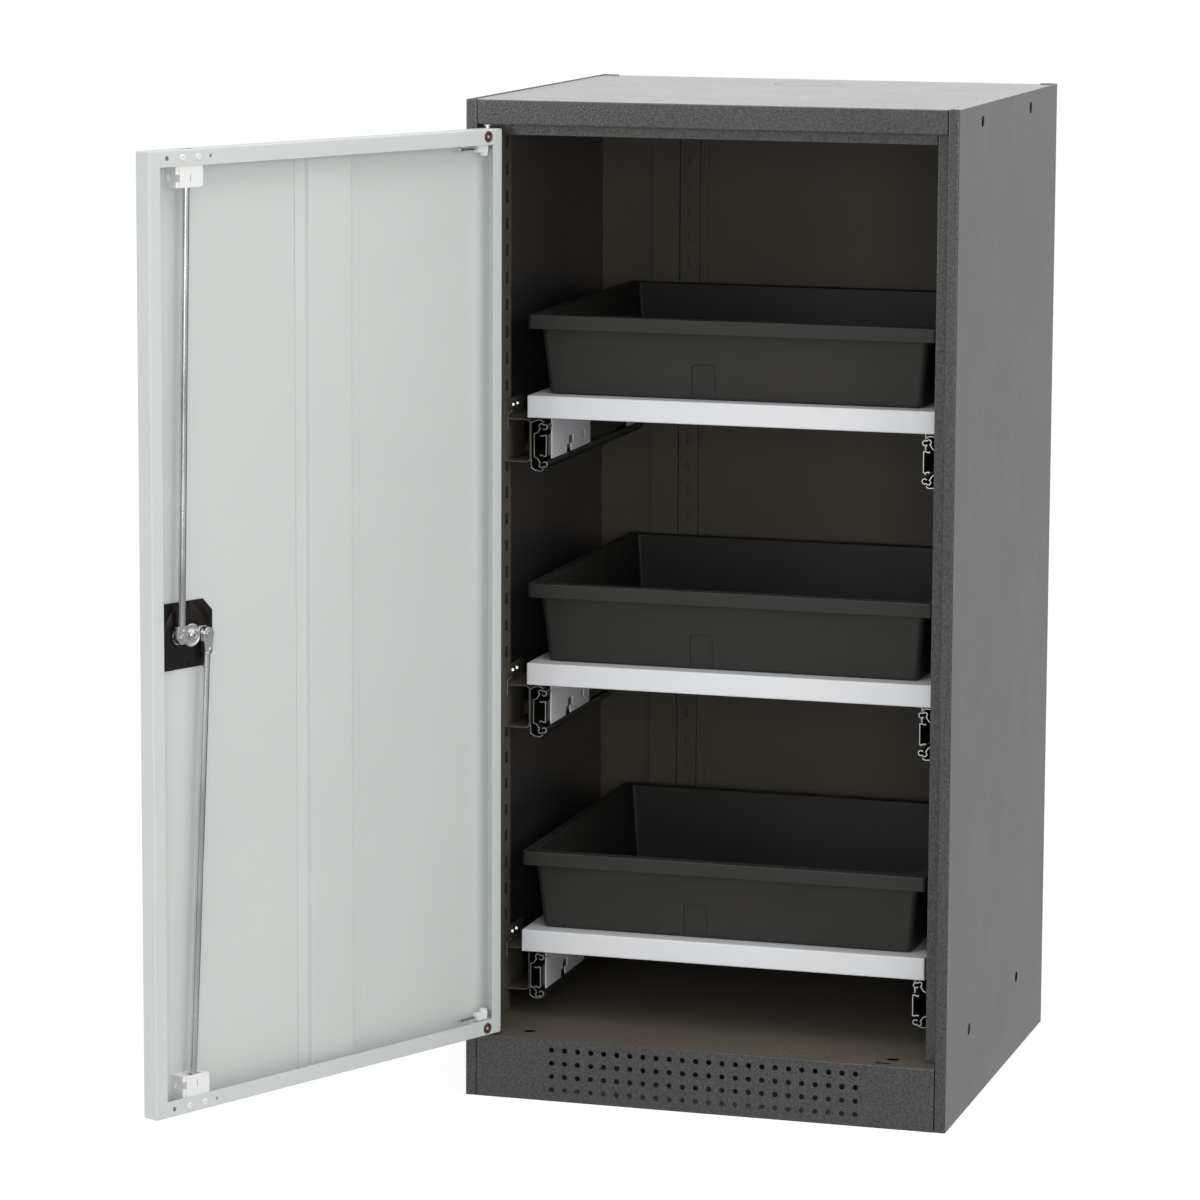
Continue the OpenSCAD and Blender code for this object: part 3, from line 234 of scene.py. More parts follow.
# %% [markdown]
# ## The finishes
# Painted steel is a dull colour under a clear, slightly wavy coat, so a coat on the
# Principled shader gives the sheen at grazing angles. Zinc plate is a metal with fine
# rolled streaks. The tub is moulded plastic with a fine spark-eroded grain. The dark
# paint is a hammered one: fine flecks vary its tone, and its coat follows the grain.
# One function makes them all, and each call holds only what differs.

# %% The finishes
DRIFT_SIZE = 9.0
TO_THE_FRONT = -0.8             # a face looks to the front where its normal's Y is below


def finish(name, color, roughness, metallic=0.0, coat=0.0, coat_roughness=0.2,
           grain=(600, 0.02), stretch=(1, 1, 1), spread=(0.04, 0.12), level=0.5, flecks=None,
           painted_front_glint=None):
    """A Principled material with drifting tone and a grain of (size, depth in mm).

    spread is the drift of (colour, roughness), and flecks is (size, colour spread) of fine
    spots. The last argument is a painted highlight: the colour given to faces that look to
    the front, standing in for the glint on the sawn ends of rolled members.
    """
    made = bpy.data.materials.new(name)
    made.use_nodes = True
    tree = made.node_tree
    shader = tree.nodes["Principled BSDF"]
    tones = tree.nodes.new("ShaderNodeGroup")
    tones.node_tree = drift_group
    tones.inputs["Color"].default_value = (*color, 1)
    tones.inputs["Roughness"].default_value = roughness
    tones.inputs["Size"].default_value = DRIFT_SIZE
    tones.inputs["Color Spread"].default_value = spread[0]
    tones.inputs["Roughness Spread"].default_value = spread[1]
    relief = tree.nodes.new("ShaderNodeGroup")
    relief.node_tree = grain_group
    relief.inputs["Size"].default_value = grain[0]
    relief.inputs["Depth"].default_value = grain[1] * MM
    relief.inputs["Stretch"].default_value = stretch
    hue = tones.outputs["Color"]
    if flecks:
        spots = tree.nodes.new("ShaderNodeGroup")
        spots.node_tree = drift_group
        spots.inputs["Size"].default_value, spots.inputs["Color Spread"].default_value = flecks
        tree.links.new(hue, spots.inputs["Color"])
        hue = spots.outputs["Color"]
    # Faces that look to the front are coloured near white: a painted highlight for the glint on
    # cut ends.
    if painted_front_glint:
        facing = tree.nodes.new("ShaderNodeSeparateXYZ")
        tree.links.new(tree.nodes.new("ShaderNodeTexCoord").outputs["Normal"], facing.inputs[0])
        glint_blend = tree.nodes.new("ShaderNodeMix")
        glint_blend.data_type = "RGBA"
        glint_blend.inputs["B"].default_value = (*painted_front_glint, 1)
        ahead = math_node(tree, "LESS_THAN", facing.outputs["Y"], TO_THE_FRONT)
        tree.links.new(ahead, glint_blend.inputs["Factor"])
        tree.links.new(hue, glint_blend.inputs["A"])
        hue = glint_blend.outputs["Result"]
    tree.links.new(hue, shader.inputs["Base Color"])
    tree.links.new(tones.outputs["Roughness"], shader.inputs["Roughness"])
    tree.links.new(relief.outputs["Normal"], shader.inputs["Normal"])
    if coat:
        tree.links.new(relief.outputs["Normal"], shader.inputs["Coat Normal"])
    shader.inputs["Metallic"].default_value = metallic
    shader.inputs["Coat Weight"].default_value = coat
    shader.inputs["Coat Roughness"].default_value = coat_roughness
    shader.inputs["Specular IOR Level"].default_value = level
    return made


body_paint = finish("anthracite paint", (0.050, 0.048, 0.048), 0.32, coat=0.9,
                    coat_roughness=0.16, grain=(480, 0.30), flecks=(430, 0.60))
# The inside is the same anthracite paint as the outside. This copy is lighter and warmer:
# painted light for the dim interior, which the lamps hardly reach.
inside_paint_lightened = finish("anthracite inside", (0.125, 0.110, 0.085), 0.55, grain=(420, 0.08),
                     level=0.3)
door_paint = finish("light grey paint", (0.64, 0.675, 0.655), 0.42, grain=(700, 0.012),
                    spread=(0.012, 0.08))
shelf_paint = finish("pale grey paint", (0.77, 0.78, 0.80), 0.40, grain=(700, 0.012),
                     spread=(0.012, 0.08))
zinc_plate = finish("zinc plate", (0.60, 0.62, 0.63), 0.27, metallic=1.0,
                    grain=(260, 0.010), stretch=(6, 0.4, 6), spread=(0.08, 0.25))
# The slides' faces that look to the front are painted near white: a painted highlight for the
# glint on their sawn ends.
slide_steel = finish("rolled slide steel", (0.20, 0.205, 0.18), 0.36, metallic=1.0,
                     grain=(260, 0.010), stretch=(6, 0.4, 6), spread=(0.10, 0.25),
                     painted_front_glint=(0.92, 0.92, 0.93))
bright_steel = finish("bright steel", (0.72, 0.72, 0.73), 0.22, metallic=1.0,
                      grain=(300, 0.006), stretch=(5, 5, 0.3), spread=(0.14, 0.3))
tub_plastic = finish("black moulded plastic", (0.025, 0.0235, 0.0215), 0.50,
                     grain=(900, 0.05), spread=(0.06, 0.12), level=0.4)
black_plastic = finish("black glossy plastic", (0.012, 0.010, 0.009), 0.26,
                       grain=(300, 0.02), spread=(0.1, 0.2), level=0.22)
white_plastic = finish("white plastic", (0.86, 0.86, 0.85), 0.38, grain=(500, 0.02),
                       spread=(0.015, 0.1))
brown_plastic = finish("brown plastic", (0.075, 0.036, 0.022), 0.30, grain=(500, 0.02),
                       spread=(0.08, 0.15))

# %% [markdown]
# ## From a bmesh to a piece
# Every piece ends the same way: its sharp edges are marked, it becomes an object at the
# origin, its sheet edges get a small bevel, and it rides on a body. The bevel matters
# more than its size suggests, because no real edge is razor sharp, and the thin line of
# light on an edge is what makes steel look like steel.

# %% From a bmesh to a piece
SHARP, BEVELLED = radians(35), radians(40)      # least angle of an edge drawn like that


def piece(bm, name, body, material, stands_for, turn=None, bevel=0.3, segments=2):
    """Makes an object of a bmesh, rounds its edges by bevel mm and puts it on a body.

    stands_for lists the CAD nodes that it is shown for. turn swings a part that was drawn
    on the closed door to the place where the door rests.
    """
    if turn is not None:
        placed(bm, turn)
    for face in bm.faces:
        face.smooth = True
    for edge in bm.edges:
        edge.smooth = edge.is_manifold and edge.calc_face_angle(0) < SHARP
    mesh = bpy.data.meshes.new(name)
    bm.to_mesh(mesh)
    bm.free()
    mesh.materials.append(material)
    obj = bpy.data.objects.new(name, mesh)
    scene.collection.objects.link(obj)
    if bevel:
        rounding = obj.modifiers.new("edge", "BEVEL")
        rounding.width = bevel * MM
        rounding.segments = segments
        rounding.limit_method = "ANGLE"
        rounding.angle_limit = BEVELLED
        shading = obj.modifiers.new("even shading", "WEIGHTED_NORMAL")
        shading.keep_sharp = True
    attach(obj, body)
    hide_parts(*stands_for)
    print(name, len(mesh.polygons), "faces on", body)


def placed(bm, matrix):
    """The same bmesh, moved by a matrix."""
    bmesh.ops.transform(bm, matrix=matrix, verts=bm.verts[:])
    return bm


def from_node(node):
    """A bmesh of a CAD node, with its loose triangles joined into flat faces."""
    bm = bmesh.new()
    bm.from_mesh(nodes[node].data)
    bmesh.ops.remove_doubles(bm, verts=bm.verts[:], dist=0.002 * MM)
    bmesh.ops.dissolve_limit(bm, angle_limit=radians(0.5), verts=bm.verts[:], edges=bm.edges[:])
    return bm


def crisp(node, material, bevel=0.3):
    """A CAD node with its edges rounded, for shapes that are already right."""
    piece(from_node(node), node + "_dressed", nodes[node]["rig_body"], material, [node],
          bevel=bevel)


def block(low, high):
    """A box between two corners."""
    bm = bmesh.new()
    bmesh.ops.create_cube(bm, size=1)
    low, high = Vector(low), Vector(high)
    bmesh.ops.scale(bm, vec=high - low, verts=bm.verts[:])
    bmesh.ops.translate(bm, vec=(low + high) / 2, verts=bm.verts[:])
    return bm


ALONG = {"X": Matrix.Rotation(pi / 2, 4, "Y"), "Y": Matrix.Rotation(-pi / 2, 4, "X"),
         "Z": Matrix.Identity(4)}


def bar(axis, radius, start, length, sides=24, end_radius=None):
    """A round bar, or a cone, from a start point along X, Y or Z."""
    bm = bmesh.new()
    tip = radius if end_radius is None else end_radius
    bmesh.ops.create_cone(bm, cap_ends=True, segments=sides, radius1=radius, radius2=tip,
                          depth=length)
    bmesh.ops.translate(bm, vec=(0, 0, length / 2), verts=bm.verts[:])
    return placed(bm, Matrix.Translation(start) @ ALONG[axis])


def gather(*parts):
    """Joins bmeshes into one, as loose shells of a single piece."""
    whole = bmesh.new()
    for part in parts:
        spare = bpy.data.meshes.new("spare")
        part.to_mesh(spare)
        part.free()
        whole.from_mesh(spare)
        bpy.data.meshes.remove(spare)
    return whole


def copied(bm, matrix):
    """A moved copy of a bmesh. A mirrored one has its normals turned outwards again."""
    twin = placed(bm.copy(), matrix)
    if matrix.determinant() < 0:
        bmesh.ops.reverse_faces(twin, faces=twin.faces[:])
    return twin


MIRROR = Matrix.Scale(-1, 4, (1, 0, 0))


def both_sides(bm):
    """A left part and its reflection on the right."""
    return gather(bm, copied(bm, MIRROR))


def cut(bm, *cutters):
    """A bmesh less the cutters. Each is an exact Boolean of its own, so they may overlap."""
    solids = []
    for solid in (bm, *cutters):
        obj = bpy.data.objects.new("solid", bpy.data.meshes.new("solid"))
        solid.to_mesh(obj.data)
        solid.free()
        scene.collection.objects.link(obj)
        solids.append(obj)
    stock = solids[0]
    for knife in solids[1:]:
        boolean = stock.modifiers.new("cut", "BOOLEAN")
        boolean.object = knife
        boolean.solver = "EXACT"
    evaluated = stock.evaluated_get(bpy.context.evaluated_depsgraph_get())
    done = bpy.data.meshes.new_from_object(evaluated)
    result = bmesh.new()
    result.from_mesh(done)
    for obj in solids:
        mesh = obj.data
        bpy.data.objects.remove(obj)
        bpy.data.meshes.remove(mesh)
    bpy.data.meshes.remove(done)
    return result


def rounded(bm, edges, radius, segments=4):
    """Rounds edges of a bmesh for good, where the shape needs it before it is finished."""
    bmesh.ops.bevel(bm, geom=edges, offset=radius, offset_type="OFFSET", segments=segments,
                    profile=0.5, affect="EDGES", material=-1)


def moved_verts(made):
    """The new points in what an extrusion returned."""
    return [g for g in made["geom"] if isinstance(g, bmesh.types.BMVert)]


def remove_faces(bm, unwanted):
    """Deletes the faces that a test picks."""
    bmesh.ops.delete(bm, geom=[f for f in bm.faces if unwanted(f)], context="FACES")


# %% [markdown]
# ## Folded sheet
# Almost everything here is one flat sheet with folds. It could be built from boxes, but
# then the folds would be sharp and the walls would only touch. Instead a line of points
# is drawn out into a surface, its folds are rounded as on a press brake, and `solidify`
# gives it the thickness of the steel.

# %% Folded sheet
SHEET = 1.2 * MM
FOLD = 1.8 * MM
XY = lambda a, b, s: (a, b, s)      # a line seen from above, drawn upwards
YZ = lambda a, b, s: (s, a, b)      # a line seen from the side, drawn across
ZX = lambda a, b, s: (b, s, a)      # a line seen from the front, drawn backwards


def folded(line, stations, place, radius=FOLD, thick=SHEET, keep=None):
    """Sheet along a line of (a, b) points, drawn out through a list of stations.

    Its thickness lies to the left of the line. keep tells by a face's centre which faces
    stay.
    """
    bm = bmesh.new()
    row = [bm.verts.new(place(a, b, stations[0])) for a, b in line]
    edges = [bm.edges.new(pair) for pair in zip(row, row[1:])]
    for before, after in zip(stations, stations[1:]):
        made = bmesh.ops.extrude_edge_only(bm, edges=edges)
        moved = moved_verts(made)
        step = Vector(place(0, 0, after)) - Vector(place(0, 0, before))
        bmesh.ops.translate(bm, vec=step, verts=moved)
        edges = [g for g in made["geom"] if isinstance(g, bmesh.types.BMEdge)
                 and all(v in moved for v in g.verts)]
    if keep:
        remove_faces(bm, lambda face: not keep(face.calc_center_median()))
    along = (Vector(place(0, 0, 1)) - Vector(place(0, 0, 0))).normalized()
    folds = [e for e in bm.edges if not e.is_boundary
             and abs((e.verts[1].co - e.verts[0].co).normalized().dot(along)) > 0.99]
    if radius:
        rounded(bm, folds, radius)
    bmesh.ops.solidify(bm, geom=bm.faces[:], thickness=-thick)
    bmesh.ops.recalc_face_normals(bm, faces=bm.faces[:])
    return bm


side_low, side_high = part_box("side_left")
half_w, front, rear, height = -side_low.x, side_low.y, side_high.y, side_high.z
stop_low, stop_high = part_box("top_stop_rail")
lip_in, stop_y = stop_high.x, stop_low.y
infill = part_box("fascia")[1].x
fold_in = infill + 0.5 * MM
fascia_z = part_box("fascia")[0].z
floor_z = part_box("base_panel")[1].z
top_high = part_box("top_panel")[1]
web_in = half_w - SHEET
print("cabinet", [round(v / MM) for v in (2 * half_w, rear - front, height)], "mm")

# %% [markdown]
# ## The sides
# Each side is one sheet: a narrow fold at the rear, the web, the front fold, a return
# into the cabinet and a lip that the door closes against. The lip is shorter than the
# side, so its faces above and below are deleted before the sheet gets its thickness.
# Round holes for bolts that link two cabinets are cut with a Boolean.

# %% The sides
REAR_FOLD = 20 * MM
LIP_RETURN = 10 * MM
LINK_RADIUS = 6.5 * MM
LINK_Y = (-144 * MM, 110 * MM)
LINK_Z = (88 * MM, height - 19 * MM)
side_line = [(-half_w + REAR_FOLD, rear), (-half_w, rear), (-half_w, front), (-fold_in, front),
             (-fold_in, stop_y), (-lip_in, stop_y), (-lip_in, stop_y + LIP_RETURN)]


def on_side(centre):
    """False for the parts of the stop lip that reach past the door opening."""
    beside = centre.x > -fold_in + 0.2 * MM and centre.y > front + 5 * MM and centre.y < 0
    return not beside or floor_z < centre.z < fascia_z


side = folded(side_line, [0, floor_z, fascia_z, height], XY, keep=on_side)
bolts = [bar("X", LINK_RADIUS, (-half_w - SHEET, y, z), 3 * SHEET, sides=32)
         for y in LINK_Y for z in LINK_Z]
side = cut(side, *bolts)
right = copied(side, MIRROR)
piece(side, "side_left_sheet", "carcass", body_paint, ["side_left"])
piece(right, "side_right_sheet", "carcass", body_paint, ["side_right"])

# %% [markdown]
# ## Top, fascia and back
# The top panel has deep folds at its sides, so a fine dark seam runs where it meets them.
# The fascia is folded in two directions, back along the top and back under itself. The
# duct opening is closed by a disc that hangs on four small bridges, as a knock-out does.

# %% Top, fascia and back
TOP_FOLD, CREST_FOLD = 20 * MM, 15 * MM
SEAM, FRONT_SEAM = 0.7 * MM, 0.3 * MM
port_low, port_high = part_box("port_cap")
port = (port_low + port_high) / 2
PORT_RADIUS, PORT_GAP = 38 * MM, 1.3 * MM

top_line = [(top_high.z - TOP_FOLD, -web_in + SEAM), (top_high.z, -web_in + SEAM),
            (top_high.z, web_in - SEAM), (top_high.z - TOP_FOLD, web_in - SEAM)]
top_main = folded(top_line, [stop_y + SHEET, top_high.y], ZX)
top_front = block((-infill, front + CREST_FOLD + FRONT_SEAM, top_high.z - SHEET),
                  (infill, stop_y + SHEET, top_high.z))
rear_wall = block((-web_in + 2 * SHEET, top_high.y - SHEET, top_high.z - TOP_FOLD),
                  (web_in - 2 * SHEET, top_high.y, top_high.z - SHEET))
opening = bar("Z", PORT_RADIUS, (port.x, port.y, top_high.z - 3 * SHEET), 6 * SHEET, sides=72)
top = gather(cut(top_main, opening), top_front, rear_wall)
piece(top, "top_sheet", "carcass", body_paint, ["top_panel"])

disc = bar("Z", PORT_RADIUS - PORT_GAP, (port.x, port.y, top_high.z - SHEET), SHEET, sides=72)
under = bar("Z", port_high.x - port.x, (port.x, port.y, port_low.z), SHEET, sides=48)
BRIDGE, FIRST_BRIDGE = 2.5 * MM, 20         # half width, and its angle in degrees
bridges = []
for quarter in range(4):
    bridge = block((-BRIDGE, PORT_RADIUS - 2 * PORT_GAP, top_high.z - SHEET),
                   (BRIDGE, PORT_RADIUS + 0.3 * MM, top_high.z - 0.1 * MM))
    around = Matrix.Rotation(radians(FIRST_BRIDGE + 90 * quarter), 4, "Z")
    bridges.append(placed(bridge, Matrix.Translation((port.x, port.y, 0)) @ around))
piece(gather(disc, under, *bridges), "port_disc", "carcass", body_paint, ["port_cap"])

fascia_line = [(front + CREST_FOLD, height), (front, height), (front, fascia_z),
               (stop_y, fascia_z)]
piece(folded(fascia_line, [-infill, infill], YZ), "fascia_sheet", "carcass", body_paint,
      ["fascia"])
crisp("top_stop_rail", body_paint, bevel=0.45)
crisp("back_panel", inside_paint_lightened)

# %% [markdown]
# ## Plinth and floor
# The plinth is a plate with four rows of vent holes, and its top edge is where the floor
# was folded down, so that edge is round. The floor has a strip of small drain holes. The
# holes come from the CAD model, and only the edges are worked here.

# %% Plinth and floor
plinth = from_node("plinth_panel")
NEAR = 0.01 * MM
crest = [e for e in plinth.edges
         if all(v.co.z > floor_z - NEAR and v.co.y < front + NEAR for v in e.verts)]
rounded(plinth, crest, 1.1 * MM, segments=3)
piece(plinth, "plinth_plate", "carcass", body_paint, ["plinth_panel"], bevel=0.25)
crisp("base_panel", inside_paint_lightened, bevel=0.25)
for node in ("plinth_frame", "upright_front_left", "upright_front_right",
             "upright_rear_left", "upright_rear_right"):
    crisp(node, inside_paint_lightened)
crisp("levelling_feet", zinc_plate)
crisp("hinge_bushes", zinc_plate, bevel=0.15)
crisp("rod_keepers", black_plastic)

# %% [markdown]
# ## The door pan
# The door is a shallow pan with lips round its rim. It is modelled closed, where every
# face is square to the axes, and then swung to its rest place about the hinge. A cube
# without its back face gives the pan. The rim is extruded inwards for the lips, all
# folds are bevelled and the steel's thickness is added. Slots and holes are cut last.

# %% The door pan
hinge = Vector(joints["door_hinge"]["pos_m"])
open_angle = radians(joints["door_hinge"]["range_deg"][0])
swing = (Matrix.Translation(hinge) @ Matrix.Rotation(open_angle, 4, "Z")
         @ Matrix.Translation(-hinge))
shut = swing.inverted()


def closed_box(node):
    """(lowest, highest) corner of a door part as it lies when the door is closed."""
    points = [shut @ v.co for v in nodes[node].data.vertices]
    return tuple(Vector(pick(p[i] for p in points) for i in range(3)) for pick in (min, max))


door_low, door_high = closed_box("door_panel")
LIP_HINGE, LIP_FREE, LIP_END = 14 * MM, 15.5 * MM, 17 * MM
DOOR_FOLD = 1.6 * MM
pan = block(door_low, door_high)
remove_faces(pan, lambda face: face.normal.y > 0.9)
rim = [e for e in pan.edges if e.is_boundary]
for vert in moved_verts(bmesh.ops.extrude_edge_only(pan, edges=rim)):
    vert.co.x += LIP_HINGE if vert.co.x < 0 else -LIP_FREE
    vert.co.z += LIP_END if vert.co.z < (door_low.z + door_high.z) / 2 else -LIP_END
folds = [e for e in pan.edges if not e.is_boundary and e.calc_face_angle(0) > radians(30)]
rounded(pan, folds, DOOR_FOLD)
bmesh.ops.solidify(pan, geom=pan.faces[:], thickness=SHEET)
bmesh.ops.recalc_face_normals(pan, faces=pan.faces[:])

lock_low, lock_high = closed_box("lock_cylinder")
lock = (lock_low + lock_high) / 2
guide_low, guide_high = closed_box("rod_guide_upper")
guide_x = (guide_low.x + guide_high.x) / 2
rod_y = front + 13 * MM
SLOT_W, SLOT_D = 17 * MM, 9 * MM
RIVET_EDGE, RIVET_OFF = 8 * MM, 11 * MM
NECK_RADIUS, PIN_HOLE = 20 * MM, 3.3 * MM
SPARE_HOLES = ((-28 * MM, 1.8 * MM), (32 * MM, 2.5 * MM))   # (from the guide, radius)
THROUGH = 5 * MM                # how far a cutter reaches on both sides of a sheet
door_ends = (door_low.z, door_high.z)
rivet_rows = (door_low.z + RIVET_EDGE, door_high.z - RIVET_EDGE)
slots = [block((guide_x - SLOT_W / 2, rod_y - SLOT_D / 2, z - THROUGH),
               (guide_x + SLOT_W / 2, rod_y + SLOT_D / 2, z + THROUGH)) for z in door_ends]
pin_holes = [bar("Z", PIN_HOLE, (hinge.x, hinge.y, z - THROUGH), 2 * THROUGH)
             for z in door_ends]
neck = bar("Y", NECK_RADIUS, (lock.x, front - THROUGH, lock.z), 2 * THROUGH, sides=48)
lip_holes = [bar("Y", radius, (guide_x + dx, door_high.y - THROUGH, z), 2 * THROUGH)
             for z in rivet_rows for dx, radius in SPARE_HOLES]
pan = cut(pan, neck, *slots, *pin_holes, *lip_holes)
piece(pan, "door_pan", "door", door_paint, ["door_panel"], turn=swing, bevel=0.25)
piece(from_node("door_stiffener"), "door_stiffener_dressed", "door", door_paint,
      ["door_stiffener"], bevel=1.2, segments=3)
print("door", [round(v / MM) for v in door_high - door_low], "mm")

# %% [markdown]
# ## The lock
# Inside the door the lock is a black moulded cover: a square plate with two cut corners,
# a low round dome with ribs, and small raised corners on the free side. A cam turns on
# the dome, and its two pins push and pull the rods. The plate is extruded from its
# outline and the dome is spun, because a turned form is quickest as a spun profile.

# %% The lock cover
def extruded(outline, y0, y1):
    """A plate from an outline of (x, z) points, from one depth to another."""
    bm = bmesh.new()
    face = bm.faces.new([bm.verts.new((x, y0, z)) for x, z in outline])
    made = bmesh.ops.extrude_face_region(bm, geom=[face])
    bmesh.ops.translate(bm, vec=(0, y1 - y0, 0), verts=moved_verts(made))
    bmesh.ops.recalc_face_normals(bm, faces=bm.faces[:])
    return bm


def turned(profile, x, y, z, sides=48):
    """A form spun about an axis along Y, from (radius, height above y) points in mm."""
    bm = bmesh.new()
    line = [bm.verts.new((x + radius * MM, y + rise * MM, z)) for radius, rise in profile]
    edges = [bm.edges.new(pair) for pair in zip(line, line[1:])]
    bmesh.ops.spin(bm, geom=line + edges, cent=(x, 0, z), axis=(0, 1, 0), angle=tau,
                   steps=sides, use_merge=True)
    bmesh.ops.remove_doubles(bm, verts=bm.verts[:], dist=0.01 * MM)
    bmesh.ops.recalc_face_normals(bm, faces=bm.faces[:])
    return bm


cover_low, cover_high = closed_box("lock_housing")
skin_y = front + SHEET
half = (cover_high.x - cover_low.x) / 2
CORNER, WEDGE = 13 * MM, 15 * MM
PLATE = 1.6 * MM
outline = [(lock.x + x, lock.z + z) for x, z in (
    (-half + CORNER, -half), (half, -half), (half, half), (-half + CORNER, half),
    (-half, half - CORNER), (-half, -half + CORNER))]
plate = extruded(outline, skin_y, skin_y + PLATE)
top_y = cover_high.y
crown = (top_y - skin_y) / MM
dome = turned([(33.5, 0.5), (33.5, PLATE / MM), (31.5, 2.4), (28, crown - 1.0),
               (24, crown - 0.3), (18, crown), (12, crown), (0, crown)],
              lock.x, skin_y, lock.z)
RIB_START, RIB_HALF = 14 * MM, 0.7 * MM
RIBS = ((90, 33), (180, 33), (270, 33), (0, 33), (225, 36))     # (angle, reach in mm)
ribs = []
for angle, reach in RIBS:
    rib = block((RIB_START, skin_y + 0.5 * MM, -RIB_HALF),
                (reach * MM, top_y - 0.1 * MM, RIB_HALF))
    around = Matrix.Rotation(-radians(angle), 4, "Y")
    ribs.append(placed(rib, Matrix.Translation((lock.x, 0, lock.z)) @ around))
corners = []
for end in (-1, 1):
    wedge = [(lock.x + half, lock.z + end * half), (lock.x + half - WEDGE, lock.z + end * half),
             (lock.x + half, lock.z + end * (half - WEDGE))]
    corners.append(extruded(wedge, skin_y + PLATE - 0.2 * MM, skin_y + PLATE + 1.2 * MM))
sleeve = bar("Y", NECK_RADIUS - 0.2 * MM, (lock.x, front + 0.1 * MM, lock.z), SHEET, sides=48)
piece(gather(plate, dome, sleeve, *ribs, *corners), "lock_cover", "door", black_plastic,
      ["lock_housing"], turn=swing, bevel=0.5)
crisp("handle_plate", black_plastic, bevel=0.8)
crisp("turning_handle", black_plastic, bevel=1.0)
crisp("lock_cylinder", bright_steel)

# %% [markdown]
# ## Cam, nut and rods
# The cam is a flat bar with round ends and two riveted pins. A dished washer and a nut
# hold it on the spindle. The upper rod ends in a square block and the lower rod in a
# tapered fork, and both keep the small dimples where the steel was pressed together.

# %% Cam, nut and rods
crisp("lock_cam", bright_steel, bevel=0.4)
nut_low, nut_high = closed_box("spindle_nut")
washer_y, nut_y = nut_low.y, nut_high.y
nut_top = (nut_y - washer_y) / MM
WASHER, NUT, SPINDLE = 12, 6, 4                 # radii in mm
washer = turned([(SPINDLE, 0), (WASHER, 0), (WASHER, 0.9), (WASHER - 1.2, 1.2),
                 (WASHER - 2.6, 0.5), (NUT + 1, 0.5), (NUT, 1.1), (SPINDLE, 1.1),
                 (SPINDLE, 0)], lock.x, washer_y, lock.z)
nut = turned([(SPINDLE, 1.1), (NUT, 1.1), (NUT, nut_top - 0.8), (NUT - 0.8, nut_top),
              (SPINDLE, nut_top), (SPINDLE, 1.1)], lock.x, washer_y, lock.z)
spindle_end = turned([(0, -1), (SPINDLE - 0.05, -1), (SPINDLE - 0.05, 0.1),
                      (SPINDLE - 0.75, 0.4), (2.3, 0.4), (1.7, 0), (0, 0)],
                     lock.x, nut_y, lock.z)
piece(gather(washer, nut, spindle_end), "spindle_nut_turned", "lock", bright_steel,
      ["spindle_nut"], turn=swing, bevel=0.2)
for node in ("rod_upper", "rod_lower"):
    crisp(node, bright_steel, bevel=0.5)

CAM_ARM, DIMPLE_DEEP = 18 * MM, 0.8 * MM


def pressed_end(node, side, away, radius):
    """A rod end with a round dimple in its face, at a distance from its cam pin in mm."""
    face_y = closed_box(node)[1].y
    place = (lock.x + side * CAM_ARM, face_y - DIMPLE_DEEP, lock.z + side * away * MM)
    dimpled = cut(placed(from_node(node), shut), bar("Y", radius * MM, place, 2 * MM))
    piece(dimpled, node + "_pressed", nodes[node]["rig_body"], bright_steel, [node],
          turn=swing, bevel=0.6)


pressed_end("rod_upper_end", 1, 8.6, 1.6)
pressed_end("rod_lower_end", -1, 14.5, 1.8)

# %% [markdown]
# ## Guides and rivets
# A white plastic guide keeps each rod in line behind the door's end. It has a notch in
# its free side, a slit in its face and one rounded corner. Two hollow rivets hold it.
# The lower guide is the upper one reflected, so it is built once.

# %% Guides and rivets
def reflected_low(bm):
    """The copy at the door's lower end of a part that is drawn at the upper end."""
    middle = (door_low.z + door_high.z) / 2
    flip = Matrix.Translation((0, 0, 2 * middle)) @ Matrix.Scale(-1, 4, (0, 0, 1))
    return copied(bm, flip)


def guide_cut(x0, x1, depth, z0, z1):
    """A cutter from the upper guide's face down. Depth and heights are in mm."""
    return block((x0, guide_high.y - depth * MM, guide_low.z + z0 * MM),
                 (x1, guide_high.y + MM, guide_low.z + z1 * MM))


GUIDE_CORNER = 4 * MM
guide = block(guide_low, guide_high)
soft = [e for e in guide.edges
        if all(v.co.z < guide_low.z + MM and v.co.x < guide_low.x + MM for v in e.verts)]
rounded(guide, soft, GUIDE_CORNER, segments=5)
channel = block((guide_x - SLOT_W / 2, rod_y - SLOT_D / 2, guide_low.z - MM),
                (guide_x + SLOT_W / 2, rod_y + SLOT_D / 2, guide_high.z + MM))
notch = guide_cut(guide_high.x - 4.6 * MM, guide_high.x + MM, 14, 6, 13.5)
step = guide_cut(guide_high.x - 4.5 * MM, guide_high.x + MM, 1.2, -1, 23)
slit = guide_cut(guide_x - 1.6 * MM, guide_x - 0.4 * MM, 3, 6, 13)
guide = cut(guide, channel, notch, step, slit)
low_guide = reflected_low(guide)
piece(guide, "rod_guide_upper_moulded", "door", white_plastic, ["rod_guide_upper"], turn=swing,
      bevel=0.35)
piece(low_guide, "rod_guide_lower_moulded", "door", white_plastic, ["rod_guide_lower"],
      turn=swing, bevel=0.35)

